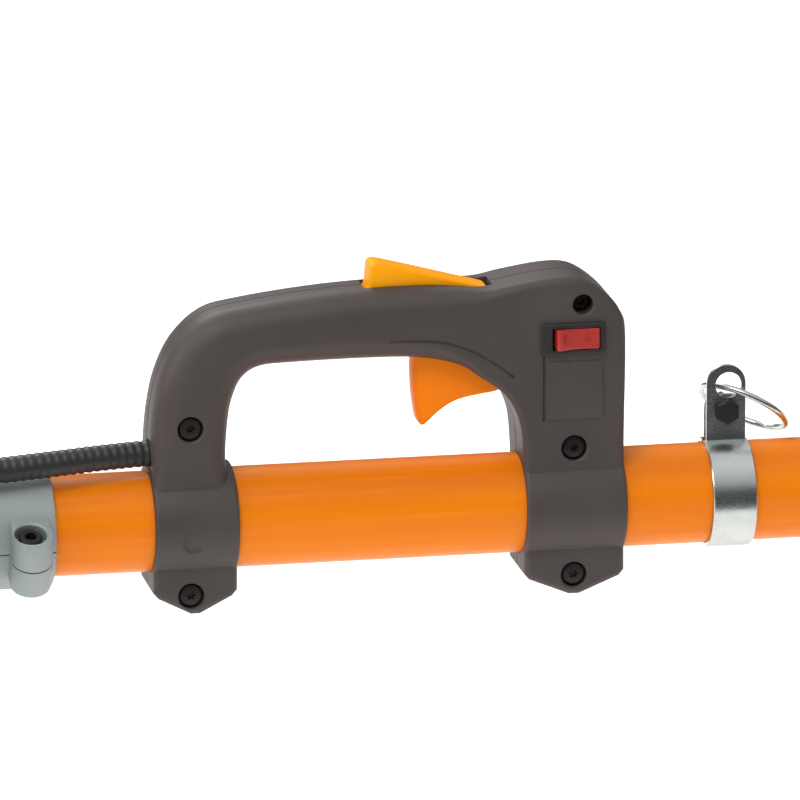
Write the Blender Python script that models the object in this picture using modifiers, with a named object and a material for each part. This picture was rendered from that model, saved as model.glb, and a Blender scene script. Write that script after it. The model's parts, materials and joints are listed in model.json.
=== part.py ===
"""Telescoping petrol pole saw, modelled at rest with its pole drawn in.

Everything is placed in pole coordinates: X runs along the pole towards the saw, Y across it, Z up, and the
zero point is on the pole's axis between the two legs of the loop handle. One empty carries all of it to the
object's own frame, whose origin is the bottom centre of the whole saw. All lengths are metres.
"""

import math

import bmesh
import bpy
from mathutils import Matrix, Vector

# --- Driving dimensions -------------------------------------------------------------------------------------
GAP = 0.0003  # left between pieces that touch

TUBE_R = 0.022  # outer (orange) tube
TUBE_WALL = 0.0025
TUBE_REAR = -0.232
TUBE_FRONT = 1.545
INNER_R = 0.019  # inner (sliding) tube
INNER_WALL = 0.0025
INNER_REAR = 0.300
INNER_FRONT = 1.700

HANDLE_HALF = 0.018  # half the loop handle's thickness
HANDLE_WALL = 0.0026
SADDLE_R = 0.0252  # where the handle's legs wrap round the tube
REAR_LEG = (-0.112, -0.075)  # the legs' extent along the pole
FRONT_LEG = (0.052, 0.0965)
TRIGGER_PIVOT = (0.046, 0.0, 0.062)
LOCKOUT_PIVOT = (0.038, 0.0, 0.0955)
SWITCH_PIVOT = (0.0743, -0.0145, 0.0772)

BAND_X = 0.1446  # harness band
BAND_HALF_WIDTH = 0.0097
BAND_BOLT_Z = 0.0375
RING_HOLE = (0.1456, -0.0025, 0.0488)
RING_THREAD = (0.1446, -0.0025, 0.0476)  # where the ring's wire passes through that hole
RING_R = 0.020
RING_WIRE = 0.0014

SHAFT_R = 0.004
QUILL_R = 0.008
CLAMP_LUGS = (-0.1674, -0.1955)
CLAMP_CENTRE = (-0.0300, -0.0080)  # the clamp screws' lugs, seen along the pole
CLAMP_LEAN = math.radians(23)
CLUTCH_NOSE_X = -0.1556
CLUTCH_NOSE_R = 0.0265
CLUTCH_FLANGE_X = -0.290
FAN_REAR_X = -0.345
ENGINE_X = -0.385  # cylinder's axis
CRANKCASE_REAR_X = -0.425
STARTER_REAR_X = -0.465
GROUND_Z = -0.112  # the surface that the tank and the bar's nose rest on

SPROCKET = (1.760, 0.0, 0.0)
BAR_Y = -0.030
BAR_TIP = 0.326  # from the sprocket's axis
BAR_DROP = math.radians(15.25)  # the bar points this far below the pole
COLLAR_X = 1.520

FRAME_SHIFT = Vector((-0.80874, 0.0085, -GROUND_Z))  # pole coordinates to the object's frame


# --- Scene and materials ------------------------------------------------------------------------------------
for old in list(bpy.data.objects):
    bpy.data.objects.remove(old)

parts = bpy.data.collections.new("telescoping_pole_saw")
cutters = bpy.data.collections.new("cutters")
bpy.context.scene.collection.children.link(parts)
bpy.context.scene.collection.children.link(cutters)
frame = bpy.data.objects.new("pole_frame", None)
frame.location = FRAME_SHIFT
parts.objects.link(frame)


def material(name, colour, roughness, metallic=0.0):
    made = bpy.data.materials.new(name)
    made.use_nodes = True
    shader = made.node_tree.nodes["Principled BSDF"]
    shader.inputs["Base Color"].default_value = (*colour, 1.0)
    shader.inputs["Roughness"].default_value = roughness
    shader.inputs["Metallic"].default_value = metallic
    return made


ORANGE_TUBE = material("orange_tube", (0.87, 0.22, 0.005), 0.35)
ORANGE_PLASTIC = material("orange_plastic", (0.9, 0.30, 0.01), 0.4)
DARK_PLASTIC = material("dark_plastic", (0.085, 0.075, 0.070), 0.5)
BLACK_PLASTIC = material("black_plastic", (0.02, 0.02, 0.02), 0.55)
RED_PLASTIC = material("red_plastic", (0.6, 0.02, 0.02), 0.35)
GREY_PLASTIC = material("grey_plastic", (0.25, 0.26, 0.27), 0.5)
CAST_ALLOY = material("cast_alloy", (0.33, 0.37, 0.37), 0.5, 0.6)
ALUMINIUM = material("aluminium", (0.6, 0.61, 0.62), 0.35, 1.0)
STEEL = material("steel", (0.45, 0.45, 0.45), 0.35, 1.0)
ZINC = material("zinc", (0.62, 0.66, 0.66), 0.25, 1.0)
BLACK_STEEL = material("black_steel", (0.03, 0.03, 0.03), 0.4, 0.8)
RUBBER = material("rubber", (0.02, 0.02, 0.02), 0.8)
FOAM = material("foam", (0.03, 0.03, 0.03), 0.95)
CLEAR_BULB = material("clear_bulb", (0.75, 0.75, 0.7), 0.2)
TANK_PLASTIC = material("tank_plastic", (0.75, 0.73, 0.66), 0.45)


# --- Modelling helpers --------------------------------------------------------------------------------------
def add(name, mesh, finish=None):
    """Puts a mesh in pole coordinates into the model; with no finish it is a cutter."""
    obj = bpy.data.objects.new(name, mesh)
    obj.parent = frame
    if finish is None:
        cutters.objects.link(obj)
        obj.hide_render = True
        obj.display_type = "WIRE"
    else:
        parts.objects.link(obj)
        mesh.materials.clear()
        mesh.materials.append(finish)
        mesh.shade_smooth()
        mesh.set_sharp_from_angle(angle=math.radians(32))
    return obj


def mesh_of(work, name):
    """Turns a bmesh into a mesh with its normals facing out."""
    bmesh.ops.remove_doubles(work, verts=work.verts, dist=1e-6)
    bmesh.ops.recalc_face_normals(work, faces=work.faces)
    mesh = bpy.data.meshes.new(name)
    work.to_mesh(mesh)
    work.free()
    return mesh


def evaluated(obj):
    """The object's mesh as the viewport shows it, in pole coordinates."""
    bpy.context.view_layer.update()
    seen = obj.evaluated_get(bpy.context.evaluated_depsgraph_get())
    work = bmesh.new()
    made = bpy.data.meshes.new_from_object(seen)
    work.from_mesh(made)
    work.transform(obj.matrix_basis)
    bpy.data.meshes.remove(made)
    return work


def bake(obj, finish=None):
    """Replaces an object by its finished mesh, so that later cuts see a plain closed mesh."""
    name = obj.name
    work = evaluated(obj)
    bpy.data.objects.remove(obj)
    bmesh.ops.remove_doubles(work, verts=work.verts, dist=1e-5)
    bmesh.ops.dissolve_degenerate(work, edges=work.edges, dist=1e-5)
    bmesh.ops.holes_fill(work, edges=[edge for edge in work.edges if edge.is_boundary], sides=4)
    return add(name, mesh_of(work, name), finish)


AXES = {
    "X": Matrix(((0, 0, 1), (1, 0, 0), (0, 1, 0))).to_4x4(),
    "-Y": Matrix(((1, 0, 0), (0, 0, -1), (0, 1, 0))).to_4x4(),
    "Z": Matrix.Identity(4),
}


def along(axis):
    """Turns local Z onto an axis given by name or as a vector."""
    if isinstance(axis, str):
        return AXES[axis]
    return Vector(axis).to_track_quat("Z", "Y").to_matrix().to_4x4()


def cylinder(name, centre, axis, radius, length, finish=None, sides=18):
    work = bmesh.new()
    bmesh.ops.create_cone(work, cap_ends=True, segments=sides, radius1=radius,
                          radius2=radius, depth=length)
    work.transform(Matrix.Translation(centre) @ along(axis))
    return add(name, mesh_of(work, name), finish)


def box(name, low, high, finish=None, bevel=0.0, segments=1):
    low, high = Vector(low), Vector(high)
    work = bmesh.new()
    bmesh.ops.create_cube(work, size=1.0)
    size = high - low
    work.transform(Matrix.Translation((low + high) / 2) @ Matrix.Diagonal((*size, 1.0)))
    obj = add(name, mesh_of(work, name), finish)
    if bevel:
        round_edges(obj, bevel, segments)
    return obj


def round_edges(obj, width, segments=1, angle=math.radians(40)):
    edge = obj.modifiers.new("rounded", "BEVEL")
    edge.width = width
    edge.segments = segments
    edge.limit_method = "ANGLE"
    edge.angle_limit = angle
    return obj


def rounded_outline(corners, step=math.radians(23)):
    """A closed outline through corners (across, up, fillet radius), each fillet a true arc."""
    points = []
    for i, (across, up, radius) in enumerate(corners):
        here = Vector((across, up))
        if not radius:
            points.append(here)
            continue
        to_last = (Vector(corners[i - 1][:2]) - here).normalized()
        to_next = (Vector(corners[(i + 1) % len(corners)][:2]) - here).normalized()
        half = to_last.angle(to_next) / 2
        centre = here + (to_last + to_next).normalized() * radius / math.sin(half)
        start = here + to_last * radius / math.tan(half) - centre
        end = here + to_next * radius / math.tan(half) - centre
        turn = start.angle_signed(end)
        steps = max(1, math.ceil(abs(turn) / step))
        for k in range(steps + 1):
            spin = -turn * k / steps
            points.append(centre + Matrix.Rotation(spin, 2) @ start)
    return points


def plate(name, outline, low, high, axis="-Y", finish=None, holes=()):
    """A flat outline given thickness from low to high along an axis.

    Its two coordinates are (x, z) for axis -Y, (x, y) for Z and (y, z) for X.
    """
    flat = bpy.data.curves.new(name, "CURVE")
    flat.dimensions = "2D"
    flat.fill_mode = "BOTH"
    flat.extrude = (high - low) / 2
    for loop in (outline, *holes):
        line = flat.splines.new("POLY")
        line.points.add(len(loop) - 1)
        for point, place in zip(line.points, loop):
            point.co = (place[0], place[1], 0.0, 1.0)
        line.use_cyclic_u = True
    guide = bpy.data.objects.new(name, flat)
    cutters.objects.link(guide)
    work = evaluated(guide)
    bpy.data.objects.remove(guide)
    middle = (low + high) / 2
    shift = {"X": (middle, 0, 0), "-Y": (0, middle, 0), "Z": (0, 0, middle)}
    work.transform(Matrix.Translation(shift[axis]) @ along(axis))
    return add(name, mesh_of(work, name), finish)


def lathe(name, profile, centre, axis, finish=None, steps=20):
    """A turned shape from the (radius, along) points of its closed profile."""
    line = bpy.data.meshes.new(name)
    count = len(profile)
    pairs = [(i, (i + 1) % count) for i in range(count)]
    edges = [(i, j) for i, j in pairs if profile[i][0] or profile[j][0]]
    line.from_pydata([(r, 0.0, h) for r, h in profile], edges, [])
    guide = bpy.data.objects.new(name, line)
    cutters.objects.link(guide)
    turn = guide.modifiers.new("turned", "SCREW")
    turn.steps = turn.render_steps = steps
    turn.use_merge_vertices = True
    turn.merge_threshold = 1e-5
    work = evaluated(guide)
    bpy.data.objects.remove(guide)
    work.transform(Matrix.Translation(centre) @ along(axis))
    return add(name, mesh_of(work, name), finish)


def tube(name, radius, wall, start, end, finish=None, steps=24):
    """A plain tube on the pole's axis."""
    inner = radius - wall
    profile = [(radius, end), (radius, start), (inner, start), (inner, end)]
    return lathe(name, profile, (0, 0, 0), "X", finish, steps)


def wire(name, points, radius, finish=None, sides=2, cyclic=False, hollow=0.0, ribs=1.0):
    """A round wire or a hose along points; with ribs below 1 every other point is that much narrower."""
    line = bpy.data.curves.new(name, "CURVE")
    line.dimensions = "3D"
    line.bevel_depth = radius
    line.bevel_resolution = sides
    line.use_fill_caps = not hollow
    spline = line.splines.new("POLY")
    spline.points.add(len(points) - 1)
    for i, (point, place) in enumerate(zip(spline.points, points)):
        point.co = (*place, 1.0)
        point.radius = ribs if i % 2 else 1.0
    spline.use_cyclic_u = cyclic
    guide = bpy.data.objects.new(name, line)
    cutters.objects.link(guide)
    work = evaluated(guide)
    bpy.data.objects.remove(guide)
    obj = add(name, mesh_of(work, name), finish)
    if hollow:
        skin = obj.modifiers.new("wall", "SOLIDIFY")
        skin.thickness = hollow
        skin.offset = -1
        skin.use_even_offset = True
    return obj


def smooth_path(knots, per_span=6):
    """Points of a Catmull-Rom curve through knots."""
    knots = [Vector(k) for k in knots]
    padded = [2 * knots[0] - knots[1], *knots, 2 * knots[-1] - knots[-2]]
    points = []
    for a, b, c, d in zip(padded, padded[1:], padded[2:], padded[3:]):
        for k in range(per_span):
            t = k / per_span
            points.append(0.5 * (2 * b + (c - a) * t + (2 * a - 5 * b + 4 * c - d) * t * t
                                 + (3 * b - a - 3 * c + d) * t ** 3))
    return [*points, knots[-1]]


def boolean(obj, operation, *others):
    for other in others:
        cut = obj.modifiers.new(operation.lower(), "BOOLEAN")
        cut.operation = operation
        cut.solver = "EXACT"
        cut.object = other
        if other.name not in cutters.objects:
            parts.objects.unlink(other)
            cutters.objects.link(other)
            other.hide_render = True
            other.display_type = "WIRE"
    return obj


def cut(obj, *others):
    return boolean(obj, "DIFFERENCE", *others)


def fuse(obj, *others):
    return boolean(obj, "UNION", *others)


def pivot_at(obj, point):
    """Moves an object's origin onto its joint's axis without moving its shape."""
    obj.data.transform(Matrix.Translation(-Vector(point)))
    obj.location = point
    for modifier in obj.modifiers:
        if modifier.type == "BOOLEAN":
            raise ValueError(f"{obj.name}: bake before moving its origin")
    return obj


def cap_screw(name, place, axis, head_r, head_h, shank_r, length, finish):
    """A socket screw: its head's underside is at place and its shank runs the other way from axis."""
    profile = [(0, 0.55 * head_h), (0.52 * head_r, 0.55 * head_h), (0.52 * head_r, head_h),
               (head_r, head_h), (head_r, 0), (shank_r, 0), (shank_r, -length), (0, -length)]
    return lathe(name, profile, place, axis, finish, 10)


def inset(outline, distance):
    """The outline moved inwards by a distance, or by one distance for each of its points."""
    count = len(outline)
    amounts = distance if isinstance(distance, (list, tuple)) else [distance] * count
    area = sum(a[0] * b[1] - b[0] * a[1] for a, b in zip(outline, outline[1:] + outline[:1]))
    side = 1 if area > 0 else -1
    moved = []
    for i in range(count):
        here = Vector(outline[i][:2])
        back = (here - Vector(outline[i - 1][:2])).normalized()
        ahead = (Vector(outline[(i + 1) % count][:2]) - here).normalized()
        normal = Vector((-(back + ahead).y, (back + ahead).x)).normalized() * side
        mitre = max(0.5, normal.dot(Vector((-ahead.y, ahead.x)) * side))
        moved.append(here + normal * amounts[i] / mitre)
    return moved


def rounded_slab(name, outline, start, end, radii, steps=3, finish=None):
    """A slab from y = start to y = end, its edge at the end rounded by a radius for each outline point."""
    work = bmesh.new()
    way = 1 if end > start else -1
    count = len(outline)
    rows = [[(p[0], start, p[1]) for p in outline]]
    for k in range(steps + 1):
        phi = math.pi / 2 * k / steps
        shrunk = inset(outline, [r * (1 - math.cos(phi)) for r in radii])
        rows.append([(p[0], end - way * r * (1 - math.sin(phi)), p[1]) for p, r in zip(shrunk, radii)])
    rows = [[work.verts.new(place) for place in row] for row in rows]
    for low, high in zip(rows, rows[1:]):
        for i in range(count):
            j = (i + 1) % count
            work.faces.new((low[i], low[j], high[j], high[i]))
    for row in (rows[0], rows[-1]):
        rim = [work.edges.get((row[i], row[(i + 1) % count])) for i in range(count)]
        bmesh.ops.triangle_fill(work, use_beauty=True, use_dissolve=False, edges=rim)
    return add(name, mesh_of(work, name), finish)


# --- Pole ---------------------------------------------------------------------------------------------------
def make_pole():
    tube("outer_tube", TUBE_R, TUBE_WALL, TUBE_REAR, TUBE_FRONT, ORANGE_TUBE, 28)
    tube("inner_tube", INNER_R, INNER_WALL, INNER_REAR, INNER_FRONT, ALUMINIUM, 20)
    rear, front, lip = 0.330, 0.610, 0.002
    skin = TUBE_R + GAP
    lathe("foam_grip", [(0.0262, front - lip), (0.0275, front - 0.012), (0.0268, 0.47),
                        (0.0275, rear + 0.012), (0.0262, rear + lip), (skin, rear), (skin, front)],
          (0, 0, 0), "X", FOAM, 20)


def make_drive_line():
    """Hollow quill turned by the clutch drum, and the inner shaft that slides in it and turns with it."""
    quill_rear, quill_front = -0.262, 1.500
    shaft_rear, shaft_front = 0.150, 1.751
    bore = SHAFT_R + GAP
    lathe("outer_drive_shaft", [(QUILL_R, quill_front), (QUILL_R, quill_rear), (bore, quill_rear),
                                (bore, quill_front)], (0, 0, 0), "X", STEEL, 16)
    lathe("inner_drive_shaft", [(0, shaft_front), (0.0044, shaft_front), (0.0080, shaft_front - 0.006),
                                (0.0080, shaft_front - 0.010), (SHAFT_R, shaft_front - 0.012),
                                (SHAFT_R, shaft_rear), (0, shaft_rear)], (0, 0, 0), "X", STEEL, 16)
    for name, place, outer, inner in (
            ("outer_tube_bearing", 0.270, TUBE_R - TUBE_WALL - GAP, QUILL_R + GAP),
            ("inner_tube_bearing", 1.660, INNER_R - INNER_WALL - GAP, bore)):
        lathe(name, [(outer, 0.009), (outer, -0.009), (inner, -0.009), (inner, 0.009)], (place, 0, 0), "X",
              BLACK_PLASTIC, 20)


def make_telescope_lock():
    """Split collar on the outer tube's end, closed by a cam lever on a cross bolt."""
    rear, front = COLLAR_X - 0.034, COLLAR_X + 0.050
    stop = TUBE_FRONT + GAP
    bore, guide = TUBE_R + GAP, INNER_R + GAP
    bolt_z = -0.0365
    collar = lathe("telescope_collar", [(0, front), (0.0235, front), (0.0270, front - 0.004),
                                        (0.0270, COLLAR_X + 0.024), (0.0295, COLLAR_X + 0.018),
                                        (0.0295, COLLAR_X - 0.018), (0.0265, COLLAR_X - 0.024),
                                        (0.0262, rear + 0.003), (0.0240, rear), (0, rear)],
                   (0, 0, 0), "X", GREY_PLASTIC, 20)
    ears = box("collar_ears", (COLLAR_X - 0.014, -0.011, -0.045), (COLLAR_X + 0.014, 0.011, -0.024),
               bevel=0.002)
    bores = lathe("collar_bores", [(0, front + 0.002), (guide, front + 0.002), (guide, stop), (bore, stop),
                                   (bore, rear - 0.002), (0, rear - 0.002)], (0, 0, 0), "X", steps=24)
    slot = box("collar_slot", (rear - 0.010, -0.0012, -0.050), (front + 0.010, 0.0012, -0.010))
    bolt_hole = cylinder("collar_bolt_hole", (COLLAR_X, 0, bolt_z), "-Y", 0.0031, 0.060, sides=16)
    cut(fuse(collar, ears), bores, slot, bolt_hole)
    lathe("collar_bolt", [(0, -0.0156), (0.0055, -0.0156), (0.0055, -0.0113), (0.0028, -0.0113),
                          (0.0028, 0.0205), (0.0050, 0.0205), (0.0050, 0.0235), (0, 0.0235)],
          (COLLAR_X, 0, bolt_z), "-Y", STEEL, 12)
    finger = [(-0.007, -0.0065, 0.005), (0.012, -0.0065, 0.010), (0.066, 0.0030, 0.0025),
              (0.066, 0.0085, 0.0025), (0.010, 0.0065, 0.010), (-0.007, 0.0065, 0.006)]
    lever = plate("collar_lever", [(COLLAR_X + p.x, bolt_z + p.y) for p in rounded_outline(finger)],
                  -0.0202, -0.0113, "-Y", ORANGE_PLASTIC)
    hole = cylinder("lever_hole", (COLLAR_X, -0.015, bolt_z), "-Y", 0.0031, 0.03, sides=16)
    pivot_at(bake(cut(lever, hole), ORANGE_PLASTIC), (COLLAR_X, -0.015, bolt_z))


# --- Loop handle --------------------------------------------------------------------------------------------
def handle_outline():
    """The handle's side view (x, z) with the radius of its rounded edge there, an arch from foot to foot."""
    grip, leg, boxy, foot = 0.0115, 0.009, 0.004, 0.003
    outside = [(-0.112, -0.0285, foot), (-0.112, 0.012, foot), (-0.1112, 0.024, 0.006),
               (-0.112, 0.034, leg), (-0.111, 0.050, grip), (-0.1075, 0.066, grip), (-0.100, 0.081, grip),
               (-0.087, 0.0925, grip), (-0.070, 0.0965, grip), (-0.041, 0.1000, grip),
               (-0.015, 0.1016, grip), (0.012, 0.1016, 0.010), (0.033, 0.0998, 0.006),
               (0.047, 0.1018, boxy), (0.065, 0.1043, boxy), (0.077, 0.1034, boxy),
               (0.0875, 0.0966, boxy), (0.0945, 0.088, boxy), (0.097, 0.076, boxy), (0.0965, 0.030, boxy),
               (0.0965, -0.0285, foot)]
    front_foot = [(0.0943, -0.0312, foot), (0.0765, -0.0385, foot), (0.0720, -0.0385, foot),
                  (0.0543, -0.0312, foot), (0.052, -0.0285, foot)]
    opening = [(0.052, 0.012, foot), (0.0515, 0.0274, foot), (0.0502, 0.0387, foot),
               (0.0467, 0.0479, foot), (0.0414, 0.0547, foot), (0.0324, 0.0612, foot),
               (0.0236, 0.0666, 0.006), (0.0059, 0.0702, 0.009), (-0.020, 0.0705, grip),
               (-0.050, 0.0702, grip), (-0.064, 0.0692, grip), (-0.0715, 0.0645, grip),
               (-0.0755, 0.056, grip), (-0.0775, 0.046, grip), (-0.0790, 0.030, leg),
               (-0.0782, 0.018, 0.006), (-0.075, 0.012, foot), (-0.075, -0.0285, foot)]
    rear_foot = [(-0.0773, -0.0312, foot), (-0.0915, -0.0385, foot), (-0.0955, -0.0385, foot),
                 (-0.1097, -0.0312, foot)]
    return outside + front_foot + opening + rear_foot


SCREWS = ((-0.0955, 0.0447), (-0.0955, -0.0300), (0.0739, 0.0278), (0.0739, -0.0293), (0.0775, 0.0921))
SWITCH_HOLE = ((0.0602, 0.0720), (0.0858, 0.0824))  # its low and high corner (x, z)


def handle_shell(name, side):
    """One half of the handle: side is -1 for the near half, with the screw heads, and 1 for the far one."""
    outline = handle_outline()
    flat = [(x, z) for x, z, _ in outline]
    edges = [r for _, _, r in outline]
    seam = side * GAP / 2
    shell = rounded_slab(name, flat, seam, side * HANDLE_HALF, edges)
    wall = [max(0.0008, r - HANDLE_WALL) for r in edges]
    hollow = rounded_slab(f"{name}_hollow", inset(flat, HANDLE_WALL), -side * 0.002,
                          side * (HANDLE_HALF - HANDLE_WALL), wall, steps=1)
    cut(shell, hollow)
    for i, (low, high) in enumerate((REAR_LEG, FRONT_LEG)):
        lip = 0.0018
        saddle = lathe(f"{name}_saddle_{i}", [(0, high), (SADDLE_R - lip, high), (SADDLE_R, high - lip),
                                              (SADDLE_R, low + lip), (SADDLE_R - lip, low), (0, low)],
                       (0, 0, 0), "X", steps=24)
        fuse(shell, saddle)
    for i, (x, z) in enumerate(SCREWS):
        post = 0.0064 if i == 4 else 0.0072
        depth = HANDLE_HALF - 0.001
        fuse(shell, cylinder(f"{name}_post_{i}", (x, side * depth / 2, z), "-Y", post, depth, sides=12))
    for i, (x, _, z) in enumerate((TRIGGER_PIVOT, LOCKOUT_PIVOT)):
        fuse(shell, cylinder(f"{name}_boss_{i}", (x, side * 0.0125, z), "-Y", 0.0045, 0.009, sides=12))
    bore = cylinder(f"{name}_bore", (0, 0, 0), "X", TUBE_R + GAP, 0.4, sides=30)
    beyond = box(f"{name}_beyond", (-0.2, min(seam, -side * 0.05), -0.1), (0.2, max(seam, -side * 0.05), 0.2))
    trigger_slot = box(f"{name}_trigger_slot", (-0.0010, -0.0074, 0.044), (0.0500, 0.0074, 0.080))
    lockout_slot = box(f"{name}_lockout_slot", (-0.0172, -0.0074, 0.090), (0.0440, 0.0074, 0.115))
    hose_way = wire(f"{name}_hose_way", [(-0.120, -0.0050, 0.0316), (-0.090, -0.0034, 0.0318)], 0.0062,
                    sides=4)
    cut(shell, bore, beyond, trigger_slot, lockout_slot, hose_way)
    for i, (x, z) in enumerate(SCREWS):
        wide, deep = (0.0045, 0.010) if i == 4 else (0.0057, 0.005)
        if side < 0:
            cut(shell, cylinder(f"{name}_head_{i}", (x, -HANDLE_HALF, z), "-Y", wide, 2 * deep, sides=12),
                cylinder(f"{name}_way_{i}", (x, -0.01, z), "-Y", 0.0022, 0.04, sides=12))
        else:
            cut(shell, cylinder(f"{name}_way_{i}", (x, 0.002, z), "-Y", 0.0022, 0.022, sides=12))
    for i, (x, _, z) in enumerate((TRIGGER_PIVOT, LOCKOUT_PIVOT)):
        cut(shell, cylinder(f"{name}_pivot_{i}", (x, 0, z), "-Y", 0.0019 + GAP, 0.0274, sides=16))
    if side < 0:
        (x0, z0), (x1, z1) = SWITCH_HOLE
        cut(shell, box(f"{name}_switch_hole", (x0, -0.03, z0), (x1, -0.005, z1)))
        fuse(shell, box(f"{name}_panel", (0.0615, -0.0186, 0.041), (0.0865, -0.0165, 0.067), bevel=0.0006))
    bake(shell, DARK_PLASTIC)


def make_handle_screws():
    for i, (x, z) in enumerate(SCREWS):
        under = 0.0102 if i == 4 else 0.0052
        head = 0.0040 if i == 4 else 0.0048
        cap_screw(f"handle_screw_{i + 1}", (x, -HANDLE_HALF + under - 0.0005, z), (0, -1, 0), head, 0.0030,
                  0.0019, HANDLE_HALF + 0.008 - under, BLACK_STEEL)


def helix(centre, radius, low, high, turns, ends):
    """Points of a torsion spring coiled about Y, with a straight leg at each end."""
    x, _, z = centre
    count = int(turns * 10)
    coil = [(x + radius * math.cos(2 * math.pi * turns * k / count), low + (high - low) * k / count,
             z + radius * math.sin(2 * math.pi * turns * k / count)) for k in range(count + 1)]
    return [ends[0], *coil, ends[1]]


def make_trigger():
    outline = [(0.0060, 0.0715), (0.0046, 0.0660), (0.0046, 0.0590), (0.0050, 0.0520), (0.0058, 0.0457),
               (0.0068, 0.0405), (0.0084, 0.0382), (0.0108, 0.0397), (0.0152, 0.0438), (0.0208, 0.0476),
               (0.0263, 0.0497), (0.0341, 0.0511), (0.0420, 0.0524), (0.0480, 0.0555), (0.0515, 0.0600),
               (0.0515, 0.0645), (0.0480, 0.0675), (0.0300, 0.0715)]
    trigger = plate("throttle_trigger", outline, -0.0070, 0.0070)
    round_edges(trigger, 0.0014, 2)
    x, _, z = TRIGGER_PIVOT
    fuse(trigger, cylinder("trigger_pin", (x, 0, z), "-Y", 0.0019, 0.0264, sides=14))
    pivot_at(bake(trigger, ORANGE_PLASTIC), TRIGGER_PIVOT)
    coil = helix(TRIGGER_PIVOT, 0.0053, 0.0084, 0.0125, 3, ((0.058, 0.0084, 0.0630), (0.060, 0.0125, 0.0700)))
    pivot_at(wire("trigger_spring", coil, 0.0004, STEEL, sides=0), TRIGGER_PIVOT)

    outline = [(-0.0150, 0.0960), (-0.0150, 0.1020), (-0.0144, 0.1098), (-0.0126, 0.1117), (-0.0080, 0.1115),
               (0.0030, 0.1085), (0.0150, 0.1053), (0.0260, 0.1023), (0.0350, 0.0999), (0.0410, 0.0985),
               (0.0425, 0.0945), (0.0400, 0.0915), (0.0340, 0.0905), (0.0150, 0.0930)]
    lever = plate("throttle_lockout", outline, -0.0070, 0.0070)
    round_edges(lever, 0.0014, 2)
    x, _, z = LOCKOUT_PIVOT
    fuse(lever, cylinder("lockout_pin", (x, 0, z), "-Y", 0.0019, 0.0264, sides=14))
    pivot_at(bake(lever, ORANGE_PLASTIC), LOCKOUT_PIVOT)


def make_stop_switch():
    (x0, z0), (x1, z1) = SWITCH_HOLE
    body = box("stop_switch_body", (x0 + GAP, -0.0183, z0 + GAP), (x1 - GAP, -0.0060, z1 - GAP))
    rim = box("switch_rim", (0.0586, -0.0194, 0.0703), (0.0872, -0.0183 + 0.0001, 0.0841), bevel=0.0008)
    pocket = box("switch_pocket", (0.0636, -0.03, 0.0723), (0.0850, -0.0080, 0.0821))
    cut(fuse(body, rim), pocket)
    bake(body, BLACK_PLASTIC)
    x, y, z = SWITCH_PIVOT
    side = [(-0.0094, 0.0030), (-0.0097, -0.0060), (-0.0088, -0.0068), (0, -0.0052), (0.0088, -0.0068),
            (0.0097, -0.0060), (0.0094, 0.0030), (0.0020, 0.0045), (-0.0020, 0.0045)]
    tilt = Matrix.Rotation(math.radians(7), 2)
    tipped = [tilt @ Vector(p) for p in side]
    rocker = plate("stop_switch_rocker", [(x + p.x, y + p.y) for p in tipped], z - 0.0046, z + 0.0046, "Z")
    round_edges(rocker, 0.0006, 1)
    pivot_at(bake(rocker, RED_PLASTIC), SWITCH_PIVOT)


def make_conduit():
    """Corrugated hose for the throttle cable and the stop wires, from the handle to the engine's cover."""
    route = smooth_path([(-0.1045, -0.0042, 0.0317), (-0.1150, -0.0047, 0.0316), (-0.1350, -0.0085, 0.0316),
                         (-0.1610, -0.0140, 0.0312), (-0.1850, -0.0170, 0.0308), (-0.2080, -0.0200, 0.0345),
                         (-0.2350, -0.0260, 0.0480), (-0.2600, -0.0310, 0.0600), (-0.2900, -0.0330, 0.0720),
                         (-0.3200, -0.0310, 0.0800), (-0.3475, -0.0280, 0.0820)], per_span=3)
    wire("cable_conduit", route, 0.0058, BLACK_PLASTIC, hollow=0.001)


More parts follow.
